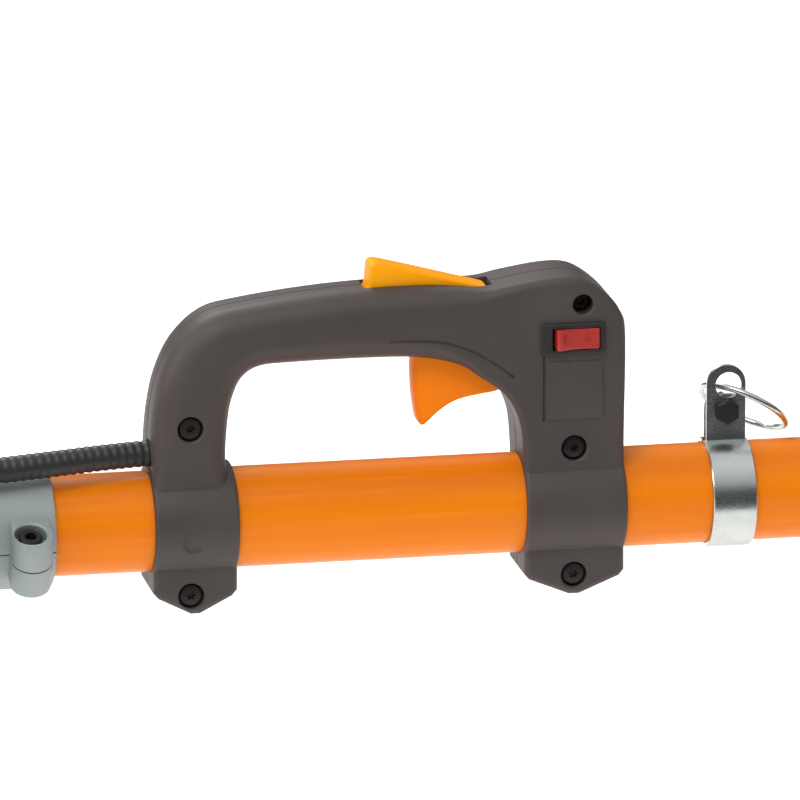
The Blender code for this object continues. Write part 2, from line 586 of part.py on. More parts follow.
# --- Harness point ------------------------------------------------------------------------------------------
def make_harness():
    skin = TUBE_R + GAP
    band = lathe("harness_band", [(skin + 0.002, BAND_X + BAND_HALF_WIDTH),
                                  (skin + 0.002, BAND_X - BAND_HALF_WIDTH), (skin, BAND_X - BAND_HALF_WIDTH),
                                  (skin, BAND_X + BAND_HALF_WIDTH)], (0, 0, 0), "X", ZINC, 28)
    half = 0.00875
    near = rounded_outline([(BAND_X - half, 0.0205, 0), (BAND_X + half, 0.0205, 0),
                            (BAND_X + half, 0.0580, 0.0086), (BAND_X - half, 0.0580, 0.0086)])
    far = rounded_outline([(BAND_X - half, 0.0205, 0), (BAND_X + half, 0.0205, 0),
                           (BAND_X + half, 0.0435, 0.006), (BAND_X - half, 0.0435, 0.006)])
    gap = box("band_gap", (BAND_X - 0.02, -0.0017, 0.010), (BAND_X + 0.02, 0.0017, 0.030))
    cut(band, gap)
    fuse(band, plate("ear_near", near, -0.0033, -0.0017), plate("ear_far", far, 0.0017, 0.0033))
    clear = cylinder("band_bore", (BAND_X, 0, 0), "X", skin, 0.04, sides=40)
    bolt_hole = cylinder("band_bolt_hole", (BAND_X, 0, BAND_BOLT_Z), "-Y", 0.0033, 0.02, sides=16)
    x, _, z = RING_HOLE
    ring_hole = cylinder("ring_hole", (x, -0.0025, z), "-Y", 0.0058, 0.0030, sides=18)
    cut(band, clear, bolt_hole, ring_hole)
    bake(band, ZINC)
    head = cylinder("harness_bolt", (BAND_X, -0.0056, BAND_BOLT_Z), "-Y", 0.0057, 0.0040, sides=6)
    shank = cylinder("bolt_shank", (BAND_X, 0.0025, BAND_BOLT_Z), "-Y", 0.0030, 0.0160, sides=16)
    nut = cylinder("bolt_nut", (BAND_X, 0.0060, BAND_BOLT_Z), "-Y", 0.0057, 0.0048, sides=6)
    bake(fuse(head, shank, nut), BLACK_STEEL)
    long_way = Vector((0.8632, -0.3885, -0.3224)).normalized()
    short_way = Vector((-0.1814, -0.8347, 0.5202))
    short_way = (short_way - long_way * short_way.dot(long_way)).normalized()
    start = math.radians(-25)
    centre = Vector(RING_THREAD) - RING_R * (math.cos(start) * short_way + math.sin(start) * long_way)
    loop = []
    for k in range(32):
        turn = 2 * math.pi * k / 32
        loop.append(centre + RING_R * (math.cos(turn) * short_way + math.sin(turn) * long_way))
    pivot_at(wire("harness_ring", loop, RING_WIRE, ZINC, sides=1, cyclic=True), RING_THREAD)


# --- Engine -------------------------------------------------------------------------------------------------
def make_clutch():
    nose, flange, r = CLUTCH_NOSE_X, CLUTCH_FLANGE_X, CLUTCH_NOSE_R
    body = lathe("clutch_housing", [(0, nose), (r - 0.0015, nose), (r, nose - 0.0015), (r, -0.212),
                                    (0.0300, -0.230), (0.0440, -0.256), (0.0470, -0.266), (0.0470, -0.282),
                                    (0.0500, -0.283), (0.0500, flange), (0, flange)],
                 (0, 0, 0), "X", CAST_ALLOY, 28)
    lean = Matrix.Rotation(CLAMP_LEAN, 4, "X")
    holes = []
    for i, x in enumerate(CLAMP_LUGS):
        lug = cylinder(f"clutch_lug_{i}", (0, 0, 0), "Z", 0.0090, 0.0320, sides=18)
        web = box(f"clutch_web_{i}", (-0.0088, -0.0005, -0.0150), (0.0088, 0.0180, 0.0150))
        pocket = cylinder(f"lug_pocket_{i}", (0, 0, 0.0160), "Z", 0.0070, 0.0130, sides=14)
        hole = cylinder(f"lug_hole_{i}", (0, 0, 0), "Z", 0.0033, 0.060, sides=16)
        slit = box(f"clutch_slit_{i}", (-0.0180, -0.0180, -0.0015), (0.0180, 0.0120, 0))
        for piece in (lug, web, pocket, hole, slit):
            piece.matrix_basis = Matrix.Translation((x, *CLAMP_CENTRE)) @ lean
        fuse(body, lug, web)
        holes += [pocket, hole, slit]
    inside = lathe("clutch_inside", [(0, nose + 0.002), (TUBE_R + GAP, nose + 0.002),
                                     (TUBE_R + GAP, TUBE_REAR - GAP), (0.0120, TUBE_REAR - GAP),
                                     (0.0120, -0.242), (0.0330, -0.246), (0.0420, -0.262), (0.0420, -0.292),
                                     (0, -0.292)], (0, 0, 0), "X", steps=28)
    cut(body, inside, *holes)
    bake(body, CAST_ALLOY)
    up = lean @ Vector((0, 0, 1))
    for i, x in enumerate(CLAMP_LUGS):
        place = Vector((x, *CLAMP_CENTRE)) + 0.0096 * up
        cap_screw(f"tube_clamp_screw_{i + 1}", place, up, 0.0050, 0.0050, 0.0030, 0.0240, BLACK_STEEL)
    lathe("clutch_drum", [(0.0380, -0.2885), (0.0380, -0.2630), (0.0130, -0.2550), (0.0110, -0.2480),
                          (QUILL_R + 0.0001, -0.2480), (QUILL_R + 0.0001, -0.2625), (0.0350, -0.2660),
                          (0.0350, -0.2885)], (0, 0, 0), "X", STEEL, 20)
    rotor = cylinder("clutch_shoes", (-0.2780, 0, 0), "X", 0.0130, 0.0160, sides=20)
    for sign in (-1, 1):
        arc = [math.radians(a) for a in range(15, 166, 15)]
        outer = [(0.0335 * math.cos(a), sign * 0.0335 * math.sin(a)) for a in arc]
        inner = [(0.0120 * math.cos(a), sign * 0.0120 * math.sin(a)) for a in reversed(arc)]
        fuse(rotor, plate(f"shoe_{sign}", outer + inner, -0.2860, -0.2700, "X"))
    cut(rotor, cylinder("rotor_bore", (-0.2780, 0, 0), "X", 0.0060 + GAP, 0.03, sides=20))
    bake(rotor, CAST_ALLOY)


def make_crank_train():
    lathe("crankshaft", [(0, -0.2670), (0.0060, -0.2670), (0.0060, -0.3745), (0.0210, -0.3750),
                         (0.0210, -0.3810), (0.0120, -0.3815), (0.0120, -0.3885), (0.0210, -0.3890),
                         (0.0210, -0.3950), (0.0060, -0.3955), (0.0060, -0.4500), (0, -0.4500)],
          (0, 0, 0), "X", STEEL, 20)
    lathe("piston", [(0, 0.0740), (0.0163, 0.0740), (0.0163, 0.0500), (0.0140, 0.0500), (0.0140, 0.0700),
                     (0, 0.0700)], (ENGINE_X, 0, 0), "Z", ALUMINIUM, 20)
    wheel = lathe("flywheel", [(0.0440, -0.3220), (0.0440, -0.3360), (0.0063, -0.3360), (0.0063, -0.3100),
                               (0.0140, -0.3100), (0.0160, -0.3220)], (0, 0, 0), "X", ALUMINIUM, 20)
    for k in range(10):
        blade = box(f"blade_{k}", (-0.3225, -0.0008, 0.0180), (-0.3080, 0.0008, 0.0430))
        blade.rotation_euler = (2 * math.pi * k / 10, 0, 0)
        fuse(wheel, blade)
    bake(wheel, ALUMINIUM)
    lathe("fan_housing", [(0.0405, -0.2905), (0.0590, -0.2905), (0.0630, -0.2960), (0.0630, -0.3450),
                          (0.0600, -0.3450), (0.0600, -0.2980), (0.0575, -0.2935), (0.0405, -0.2935)],
          (0, 0, 0), "X", BLACK_PLASTIC, 28)


def make_cylinder_unit():
    high, low = 0.0380, -0.0640
    case = box("crankcase", (CRANKCASE_REAR_X, -0.0330, low), (FAN_REAR_X - GAP, 0.0330, high), bevel=0.003)
    chamber = cylinder("crank_chamber", (ENGINE_X, 0, 0), "X", 0.0230, 0.0240, sides=24)
    journals = cylinder("crank_journals", (ENGINE_X, 0, 0), "X", 0.0063, 0.120, sides=14)
    mouth = cylinder("crank_mouth", (ENGINE_X, 0, 0.030), "Z", 0.0170, 0.040, sides=20)
    bake(cut(case, chamber, journals, mouth), CAST_ALLOY)
    fins = [(0.0170, high + GAP), (0.0220, high + GAP), (0.0220, 0.0440)]
    for k in range(5):
        z = 0.0440 + 0.0105 * k
        fins += [(0.0330, z), (0.0330, z + 0.0028), (0.0220, z + 0.0028), (0.0220, z + 0.0105)]
    fins += [(0.0200, 0.1000), (0.0052, 0.1000), (0.0052, 0.0930), (0.0150, 0.0900), (0.0170, 0.0860)]
    barrel = lathe("engine_cylinder", fins, (ENGINE_X, 0, 0), "Z", ALUMINIUM, 16)
    intake = box("intake_port", (-0.395, -0.042, 0.056), (-0.375, -0.010, 0.070))
    exhaust = box("exhaust_port", (-0.395, 0.010, 0.058), (-0.375, 0.042, 0.070))
    bake(cut(barrel, intake, exhaust), ALUMINIUM)
    lathe("spark_plug", [(0, 0.0870), (0.0015, 0.0870), (0.0048, 0.0900), (0.0048, 0.1004), (0.0085, 0.1004),
                         (0.0085, 0.1060), (0.0098, 0.1075), (0.0095, 0.1200), (0.0050, 0.1235), (0, 0.1235)],
          (ENGINE_X, 0, 0), "Z", RUBBER, 16)
    outline = rounded_outline([(-0.4250, 0.0405, 0.002), (-0.3465, 0.0405, 0.002), (-0.3465, 0.1020, 0.012),
                               (-0.3640, 0.1290, 0.014), (-0.4250, 0.1290, 0.016)])
    cover = plate("engine_cover", outline, -0.0410, 0.0410, finish=BLACK_PLASTIC)
    round_edges(cover, 0.0030)
    inside = plate("cover_inside", rounded_outline([(-0.4225, 0.0300, 0.002), (-0.3490, 0.0300, 0.002),
                                                    (-0.3490, 0.1013, 0.010), (-0.3655, 0.1265, 0.012),
                                                    (-0.4225, 0.1265, 0.014)]), -0.0385, 0.0385)
    cut(cover, inside)
    for k in range(5):
        x = -0.4100 + 0.0105 * k
        cut(cover, box(f"cover_slot_{k}", (x, -0.0260, 0.120), (x + 0.0045, 0.0260, 0.140)))
    for side in (-1, 1):
        cut(cover, box(f"port_window_{side}", (-0.398, side * 0.0400 - 0.005, 0.050),
                       (-0.372, side * 0.0400 + 0.005, 0.078)))
    cut(cover, cylinder("conduit_entry", (-0.3480, -0.0280, 0.0820), "X", 0.0066, 0.02, sides=16))
    bake(cover, ORANGE_PLASTIC)


def make_starter_and_tank():
    x0, x1 = STARTER_REAR_X, CRANKCASE_REAR_X - GAP
    housing = lathe("starter_housing", [(0.0560, x1), (0.0560, x0 + 0.014), (0.0520, x0 + 0.004),
                                        (0.0460, x0), (0, x0), (0, x0 + 0.0026), (0.0450, x0 + 0.0026),
                                        (0.0500, x0 + 0.006), (0.0534, x0 + 0.015), (0.0534, x1)],
                    (0, 0, 0), "X", BLACK_PLASTIC, 28)
    for k in range(8):
        vent = box(f"starter_vent_{k}", (x0 - 0.005, -0.0022, 0.0180), (x0 + 0.008, 0.0022, 0.0400))
        vent.rotation_euler = (2 * math.pi * k / 8, 0, 0)
        cut(housing, vent)
    way = Vector((0, -0.64, 0.77)).normalized()
    exit_point = Vector((-0.4450, 0, 0)) + way * 0.054
    cut(housing, cylinder("rope_way", exit_point, tuple(way), 0.0030, 0.020, sides=16))
    bake(housing, BLACK_PLASTIC)
    grip = lathe("starter_grip", [(0, -0.0170), (0.0060, -0.0170), (0.0070, -0.0150), (0.0058, 0),
                                  (0.0070, 0.0150), (0.0060, 0.0170), (0, 0.0170)],
                 exit_point + way * 0.0145, "X", steps=16)
    neck = cylinder("grip_neck", exit_point + way * 0.0070, tuple(way), 0.0045, 0.0080, sides=16)
    rope = cylinder("grip_rope", exit_point + way * -0.006, tuple(way), 0.0015, 0.0240, sides=10)
    pivot_at(bake(fuse(grip, neck, rope), BLACK_PLASTIC), tuple(exit_point))

    low, high = GROUND_Z, -0.0643
    tank = box("fuel_tank", (-0.4500, -0.0550, low), (-0.3000, 0.0550, high), bevel=0.012, segments=3)
    inside = box("tank_inside", (-0.4475, -0.0525, low + 0.0025), (-0.3025, 0.0525, high - 0.0025),
                 bevel=0.0095, segments=3)
    neck_at = (-0.3280, -0.0575, -0.0880)
    neck = cylinder("tank_neck", neck_at, "-Y", 0.0125, 0.0100, sides=18)
    filler = cylinder("tank_filler", neck_at, "-Y", 0.0100, 0.0200, sides=18)
    bake(cut(fuse(cut(tank, inside), neck), filler), TANK_PLASTIC)
    cap = lathe("fuel_cap", [(0.0128, 0.0050), (0.0165, 0.0050), (0.0170, 0.0060), (0.0170, 0.0140),
                             (0.0155, 0.0160), (0, 0.0160), (0, 0.0130), (0.0128, 0.0130)],
                (neck_at[0], -0.0520, neck_at[2]), "-Y", steps=18)
    for k in range(6):
        rib = box(f"cap_rib_{k}", (-0.0015, -0.0155, 0.0160), (0.0015, -0.0060, 0.0180))
        rib.rotation_euler = (0, 2 * math.pi * k / 6, 0)
        rib.location = (neck_at[0], -0.0520, neck_at[2])
        fuse(cap, rib)
    pivot_at(bake(cap, BLACK_PLASTIC), (neck_at[0], -0.0520, neck_at[2]))


def make_intake_side():
    body = box("carburettor", (-0.4000, -0.0620, 0.0480), (-0.3700, -0.0415, 0.0800), bevel=0.0015)
    throat = cylinder("carb_throat", (-0.3850, -0.0500, 0.0630), "-Y", 0.0070, 0.060, sides=14)
    bake(cut(body, throat), ALUMINIUM)
    base = plate("filter_base", rounded_outline([(-0.4420, 0.0420, 0.006), (-0.3320, 0.0420, 0.006),
                                                 (-0.3320, 0.0740, 0.006), (-0.3480, 0.1020, 0.010),
                                                 (-0.4240, 0.1020, 0.010), (-0.4420, 0.0740, 0.010)]),
                 -0.0655, -0.0625)
    cut(base, cylinder("base_throat", (-0.3850, -0.0640, 0.0630), "-Y", 0.0070, 0.020, sides=14),
        cylinder("lever_pivot_hole", (-0.4340, -0.0640, 0.0580), "-Y", 0.0018 + GAP, 0.020, sides=14))
    bake(base, BLACK_PLASTIC)
    outline = rounded_outline([(-0.4200, 0.0430, 0.006), (-0.3540, 0.0430, 0.006), (-0.3540, 0.1000, 0.010),
                               (-0.4200, 0.1000, 0.010)])
    cover = plate("air_filter_cover", outline, -0.0980, -0.0658)
    round_edges(cover, 0.0030)
    inside = plate("filter_inside", inset(outline, 0.0030), -0.0950, -0.0600)
    cut(cover, inside)
    for k in range(4):
        z = 0.0520 + 0.0085 * k
        cut(cover, box(f"filter_slot_{k}", (-0.4300, -0.0880, z), (-0.4100, -0.0740, z + 0.0035)))
    bake(cover, BLACK_PLASTIC)
    lever = plate("choke_lever", rounded_outline([(-0.4380, 0.0540, 0.0035), (-0.4300, 0.0540, 0.0035),
                                                  (-0.4310, 0.0800, 0.003), (-0.4370, 0.0800, 0.003)]),
                  -0.0690, -0.0658)
    fuse(lever, cylinder("lever_peg", (-0.4340, -0.0670, 0.0580), "-Y", 0.0018, 0.0130, sides=14))
    pivot_at(bake(lever, ORANGE_PLASTIC), (-0.4340, -0.0670, 0.0580))
    dome = [(0.0075 * math.cos(math.radians(a)), 0.0075 * math.sin(math.radians(a)))
            for a in range(0, 90, 15)]
    bulb_at = (-0.3430, -0.0658, 0.0560)
    profile = [(0, 0), (0.0092, 0), (0.0092, 0.0012), *[(r, h + 0.0012) for r, h in dome], (0, 0.0087)]
    pivot_at(lathe("primer_bulb", profile, bulb_at, "-Y", CLEAR_BULB, 18), bulb_at)


def make_muffler():
    low, high = (-0.4120, 0.0440, 0.0480), (-0.3560, 0.0740, 0.0920)
    shell = box("muffler", low, high, bevel=0.004)
    inside = box("muffler_inside", Vector(low) + Vector((0.002,) * 3), Vector(high) - Vector((0.002,) * 3),
                 bevel=0.003)
    inlet = box("muffler_inlet", (-0.3940, 0.0400, 0.0580), (-0.3760, 0.0500, 0.0700))
    outlet = cylinder("muffler_outlet", (-0.4120, 0.0620, 0.0600), "X", 0.0045, 0.02, sides=16)
    bake(cut(shell, inside, inlet, outlet), STEEL)
    guard = box("muffler_guard", (-0.4180, 0.0425, 0.0420), (-0.3500, 0.0810, 0.0990), bevel=0.004)
    room = box("guard_room", (-0.4155, 0.0400, 0.0445), (-0.3525, 0.0785, 0.0965), bevel=0.003)
    cut(guard, room)
    for k in range(6):
        x = -0.4100 + 0.0092 * k
        cut(guard, box(f"guard_slot_{k}", (x, 0.0700, 0.0540), (x + 0.0045, 0.0900, 0.0880)))
    cut(guard, cylinder("guard_outlet", (-0.4180, 0.0620, 0.0600), "X", 0.0065, 0.02, sides=16))
    bake(guard, BLACK_PLASTIC)


# --- Saw head -----------------------------------------------------------------------------------------------
def saw(along_bar, across):
    """Side-view point (x, z) from a distance along the bar from the sprocket's axis and one above it."""
    c, s = math.cos(BAR_DROP), math.sin(BAR_DROP)
    return (SPROCKET[0] + along_bar * c + across * s, SPROCKET[2] - along_bar * s + across * c)


def saw_plate(name, outline, low, high, finish=None, holes=()):
    return plate(name, [saw(*p) for p in outline], low, high, "-Y", finish,
                 [[saw(*p) for p in hole] for hole in holes])


def bar_outline(extra=0.0):
    return rounded_outline([(0.026 - extra, -0.0155 - extra, 0.006 + extra), (0.160, -0.029 - extra, 0.400),
                            (BAR_TIP + extra, -0.022 - extra, 0.0215 + extra),
                            (BAR_TIP + extra, 0.022 + extra, 0.0215 + extra), (0.160, 0.029 + extra, 0.400),
                            (0.026 - extra, 0.0155 + extra, 0.006 + extra)], math.radians(10))


def chain_path():
    """The chain's inner edge: round the bar's nose, straight back, and round the sprocket."""
    nose = [p for p in bar_outline(0.0010) if p.x > 0.05]
    back = [Vector((0.0172 * math.cos(a), 0.0172 * math.sin(a)))
            for a in (math.radians(100 + 20 * k) for k in range(9))]
    return nose + back


def even_steps(loop, step):
    """Points at equal distances round a closed loop."""
    points, carry = [], 0.0
    total = sum((b - a).length for a, b in zip(loop, loop[1:] + loop[:1]))
    step = total / round(total / step / 4) / 4
    for a, b in zip(loop, loop[1:] + loop[:1]):
        length = (b - a).length
        while carry < length:
            points.append(a.lerp(b, carry / length))
            carry += step
        carry -= length
    return points


def make_saw_head():
    x0, z0 = SPROCKET[0], SPROCKET[2]
    bore = INNER_R + GAP
    body = lathe("saw_gearcase", [(0, 1.640), (0.0225, 1.640), (0.0240, 1.6415), (0.0240, 1.700),
                                  (0.0270, 1.708), (0, 1.712)], (0, 0, 0), "X", CAST_ALLOY, 24)
    box_outline = rounded_outline([(1.7030, -0.0262, 0.008), (1.7860, -0.0340, 0.020), (1.8040, 0.0, 0.020),
                                   (1.7860, 0.0280, 0.016), (1.7030, 0.0262, 0.008)])
    gear_box = bake(round_edges(plate("gear_box", box_outline, -0.0200, 0.0220), 0.0030))
    pad_outline = rounded_outline([(0.021, -0.0168, 0.004), (0.086, -0.0168, 0.008), (0.086, 0.0168, 0.008),
                                   (0.021, 0.0168, 0.004)])
    pad = saw_plate("bar_pad", pad_outline, -0.0277, -0.012)
    lug = box("saw_lug", (1.652, -0.0100, -0.0340), (1.676, 0.0100, -0.0200), bevel=0.002)
    fuse(body, gear_box, pad, lug)
    cut(body, lathe("saw_bore", [(0, 1.638), (bore, 1.638), (bore, INNER_FRONT + GAP), (0.0150, 1.7003),
                                 (0.0150, x0), (0, x0)], (0, 0, 0), "X", steps=24),
        cylinder("gear_room", (x0, 0.0, z0), "-Y", 0.0162, 0.0330, sides=20),
        cylinder("shaft_bore", (x0, -0.010, z0), "-Y", 0.0044, 0.060, sides=14),
        box("saw_slit", (1.630, -0.001, -0.040), (1.690, 0.001, -0.010)),
        cylinder("saw_lug_bore", (1.664, 0, -0.0285), "-Y", 0.0028, 0.04, sides=14))
    for i, a in enumerate((0.045, 0.068)):
        x, z = saw(a, 0.0)
        fuse(body, cylinder(f"stud_{i}", (x, -0.0350, z), "-Y", 0.0039, 0.0380, sides=14))
    bake(body, CAST_ALLOY)
    for i, a in enumerate((0.045, 0.068)):
        x, z = saw(a, 0.0)
        lathe(f"bar_nut_{i + 1}", [(0.0049, -0.0443), (0.0085, -0.0443), (0.0085, -0.0460), (0.0070, -0.0462),
                                   (0.0070, -0.0530), (0.0049, -0.0530)], (x, 0, z), (0, 1, 0), STEEL, 6)

    output = lathe("output_shaft", [(0, 0.0180), (SHAFT_R, 0.0180), (SHAFT_R, 0.0100), (0.0146, 0.0100),
                                    (0.0146, 0.0085), (0.0092, 0.0050), (SHAFT_R, 0.0050),
                                    (SHAFT_R, -0.0380), (0, -0.0380)], (x0, 0, z0), (0, 1, 0), STEEL, 20)
    pivot_at(output, SPROCKET)
    teeth = []
    for k in range(28):
        r = 0.0158 if k % 4 in (0, 1) else 0.0142
        a = 2 * math.pi * k / 28
        teeth.append((x0 + r * math.cos(a), z0 + r * math.sin(a)))
    sprocket = plate("drive_sprocket", teeth, -0.0332, -0.0268)
    cut(sprocket, cylinder("sprocket_bore", SPROCKET, "-Y", SHAFT_R + GAP, 0.1, sides=14))
    pivot_at(bake(sprocket, STEEL), SPROCKET)

    slot = rounded_outline([(0.038, -0.0042, 0.004), (0.084, -0.0042, 0.004), (0.084, 0.0042, 0.004),
                            (0.038, 0.0042, 0.004)], math.radians(30))
    saw_plate("guide_bar", bar_outline(), BAR_Y - 0.0020, BAR_Y + 0.0020, ZINC, [slot])
    inner = even_steps(chain_path(), 0.0068)
    heights = [(-0.0042, -0.0042, -0.0080, -0.0066)[k % 4] for k in range(len(inner))]
    saw_plate("saw_chain", inset(inner, heights), BAR_Y - 0.0026, BAR_Y + 0.0026, STEEL, [inner])

    outside = rounded_outline([(-0.030, -0.034, 0.022), (0.092, -0.036, 0.010), (0.092, 0.036, 0.010),
                               (-0.030, 0.034, 0.022)])
    room = rounded_outline([(-0.0275, -0.0315, 0.020), (0.110, -0.0335, 0.002), (0.110, 0.0335, 0.002),
                            (-0.0275, 0.0315, 0.020)])
    cover = bake(round_edges(saw_plate("sprocket_cover", outside, -0.0440, -0.0240), 0.0020))
    rim_low = saw_plate("cover_room", room, -0.0415, -0.0200)
    cut(cover, rim_low)
    fuse(cover, saw_plate("cover_pad", rounded_outline([(0.030, -0.012, 0.004), (0.084, -0.012, 0.004),
                                                        (0.084, 0.012, 0.004), (0.030, 0.012, 0.004)]),
                          -0.0431, -0.0323))
    for i, a in enumerate((0.045, 0.068)):
        x, z = saw(a, 0.0)
        cut(cover, cylinder(f"cover_hole_{i}", (x, -0.04, z), "-Y", 0.0046, 0.03, sides=14))
    bake(cover, BLACK_PLASTIC)

    tank = round_edges(plate("oil_tank", rounded_outline([(1.7140, -0.0330, 0.010), (1.7960, -0.0330, 0.016),
                                                          (1.7960, 0.0330, 0.016), (1.7140, 0.0330, 0.010)]),
                             0.0223, 0.0520), 0.004)
    inside = plate("oil_inside", rounded_outline([(1.7165, -0.0305, 0.008), (1.7935, -0.0305, 0.014),
                                                  (1.7935, 0.0305, 0.014), (1.7165, 0.0305, 0.008)]),
                   0.0248, 0.0495)
    neck = cylinder("oil_neck", (1.730, 0.0370, 0.0340), "Z", 0.0095, 0.0080, sides=14)
    filler = cylinder("oil_filler", (1.730, 0.0370, 0.0340), "Z", 0.0075, 0.0200, sides=14)
    bake(cut(fuse(cut(tank, inside), neck), filler), TANK_PLASTIC)
    lathe_cap = lathe("oil_cap", [(0.0098, 0.0335), (0.0130, 0.0335), (0.0130, 0.0440), (0.0115, 0.0460),
                                  (0, 0.0460), (0, 0.0390), (0.0098, 0.0390)], (1.730, 0.0370, 0), "Z",
                      BLACK_PLASTIC, 14)
    fuse(lathe_cap, box("oil_cap_rib", (1.7195, 0.0355, 0.0455), (1.7405, 0.0385, 0.0490), bevel=0.0006))
    pivot_at(bake(lathe_cap, BLACK_PLASTIC), (1.730, 0.0370, 0.0400))


make_pole()
make_drive_line()
make_telescope_lock()
handle_shell("handle_shell_near", -1)
handle_shell("handle_shell_far", 1)
make_handle_screws()
make_trigger()
make_stop_switch()
make_conduit()
make_harness()
make_clutch()
make_crank_train()
make_cylinder_unit()
make_starter_and_tank()
make_intake_side()
make_muffler()
make_saw_head()
for leftover in list(cutters.objects):
    used = any(modifier.type == "BOOLEAN" and modifier.object == leftover
               for obj in parts.objects for modifier in obj.modifiers)
    if not used:
        bpy.data.objects.remove(leftover)
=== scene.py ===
"""Looks of the telescoping pole saw: its finishes, moulded handle, hose, harness point, room and camera.

Every size below is in metres, in pole coordinates: X along the pole towards the saw, Z up, and zero on the
pole's axis between the legs of the loop handle. Pieces are shifted into the shared frame when they are
finished.
"""

import enum
import json
import logging
import math
from dataclasses import dataclass
from typing import Callable, Sequence

import bmesh
import bpy
from mathutils import Matrix, Vector

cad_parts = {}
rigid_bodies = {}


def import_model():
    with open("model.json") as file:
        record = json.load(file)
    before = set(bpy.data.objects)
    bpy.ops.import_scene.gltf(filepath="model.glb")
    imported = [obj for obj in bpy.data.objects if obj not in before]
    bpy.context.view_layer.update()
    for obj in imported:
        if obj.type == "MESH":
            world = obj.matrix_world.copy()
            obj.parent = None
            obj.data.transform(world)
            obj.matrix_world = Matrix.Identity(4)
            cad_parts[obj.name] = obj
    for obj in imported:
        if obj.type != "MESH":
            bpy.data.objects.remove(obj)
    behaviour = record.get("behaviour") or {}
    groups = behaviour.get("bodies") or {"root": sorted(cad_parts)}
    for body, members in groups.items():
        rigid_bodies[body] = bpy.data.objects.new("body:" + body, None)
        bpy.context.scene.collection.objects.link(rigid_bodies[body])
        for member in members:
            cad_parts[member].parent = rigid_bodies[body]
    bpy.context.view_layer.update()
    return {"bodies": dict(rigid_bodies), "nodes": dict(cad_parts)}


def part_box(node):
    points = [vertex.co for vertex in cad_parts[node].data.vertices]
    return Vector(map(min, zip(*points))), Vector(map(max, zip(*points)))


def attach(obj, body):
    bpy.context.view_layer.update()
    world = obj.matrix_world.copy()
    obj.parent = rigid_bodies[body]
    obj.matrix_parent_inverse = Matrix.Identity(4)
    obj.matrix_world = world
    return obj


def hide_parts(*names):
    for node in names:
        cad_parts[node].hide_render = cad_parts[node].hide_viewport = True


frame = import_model()
LOG = logging.getLogger("pole_saw")

Point = Sequence[float]
POLE_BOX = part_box("outer_tube")
TUBE_REAR = -0.232  # the orange tube's rear end, which ties pole coordinates to the frame
ORIGIN = Vector((POLE_BOX[0][0] - TUBE_REAR, (POLE_BOX[0][1] + POLE_BOX[1][1]) / 2,
                 (POLE_BOX[0][2] + POLE_BOX[1][2]) / 2))
TUBE_R = (POLE_BOX[1][1] - POLE_BOX[0][1]) / 2
BORE_R = TUBE_R + 0.0003  # what clamps the tube is bored a little wider than it
SEAM = 0.00015  # half the gap between the handle's two shells
MERGE = 1e-6  # corners nearer than this are one


class Axis(enum.Enum):
    """The direction that a turned piece's height runs in."""

    X = ((0, 0, 1), (1, 0, 0), (0, 1, 0))
    NEAR = ((1, 0, 0), (0, 0, -1), (0, 1, 0))
    Z = ((1, 0, 0), (0, 1, 0), (0, 0, 1))

    @property
    def matrix(self) -> Matrix:
        """The turn that lays local Z along this axis."""
        return Matrix(self.value).to_4x4()


# --- Shader maths -------------------------------------------------------------------------------------------
class Value:
    """A node socket that adds Math nodes when it is used in an expression."""

    def __init__(self, paint: "Paint", socket: bpy.types.NodeSocket) -> None:
        """Wraps a socket of a paint's node tree."""
        self.paint = paint
        self.socket = socket

    def _math(self, operation: str, first: object, second: object) -> "Value":
        """One Math node of two inputs."""
        return self.paint.node("ShaderNodeMath", {"operation": operation}, {0: first, 1: second})

    def __add__(self, other: object) -> "Value":
        """self + other."""
        return self._math("ADD", self, other)

    def __sub__(self, other: object) -> "Value":
        """self - other."""
        return self._math("SUBTRACT", self, other)

    def __mul__(self, other: object) -> "Value":
        """self * other."""
        return self._math("MULTIPLY", self, other)

    def __rsub__(self, other: object) -> "Value":
        """other - self."""
        return self._math("SUBTRACT", other, self)

    __radd__ = __add__
    __rmul__ = __mul__

    def clamp(self) -> "Value":
        """The value kept within 0 and 1."""
        return self.paint.node("ShaderNodeClamp", {}, {"Value": self})


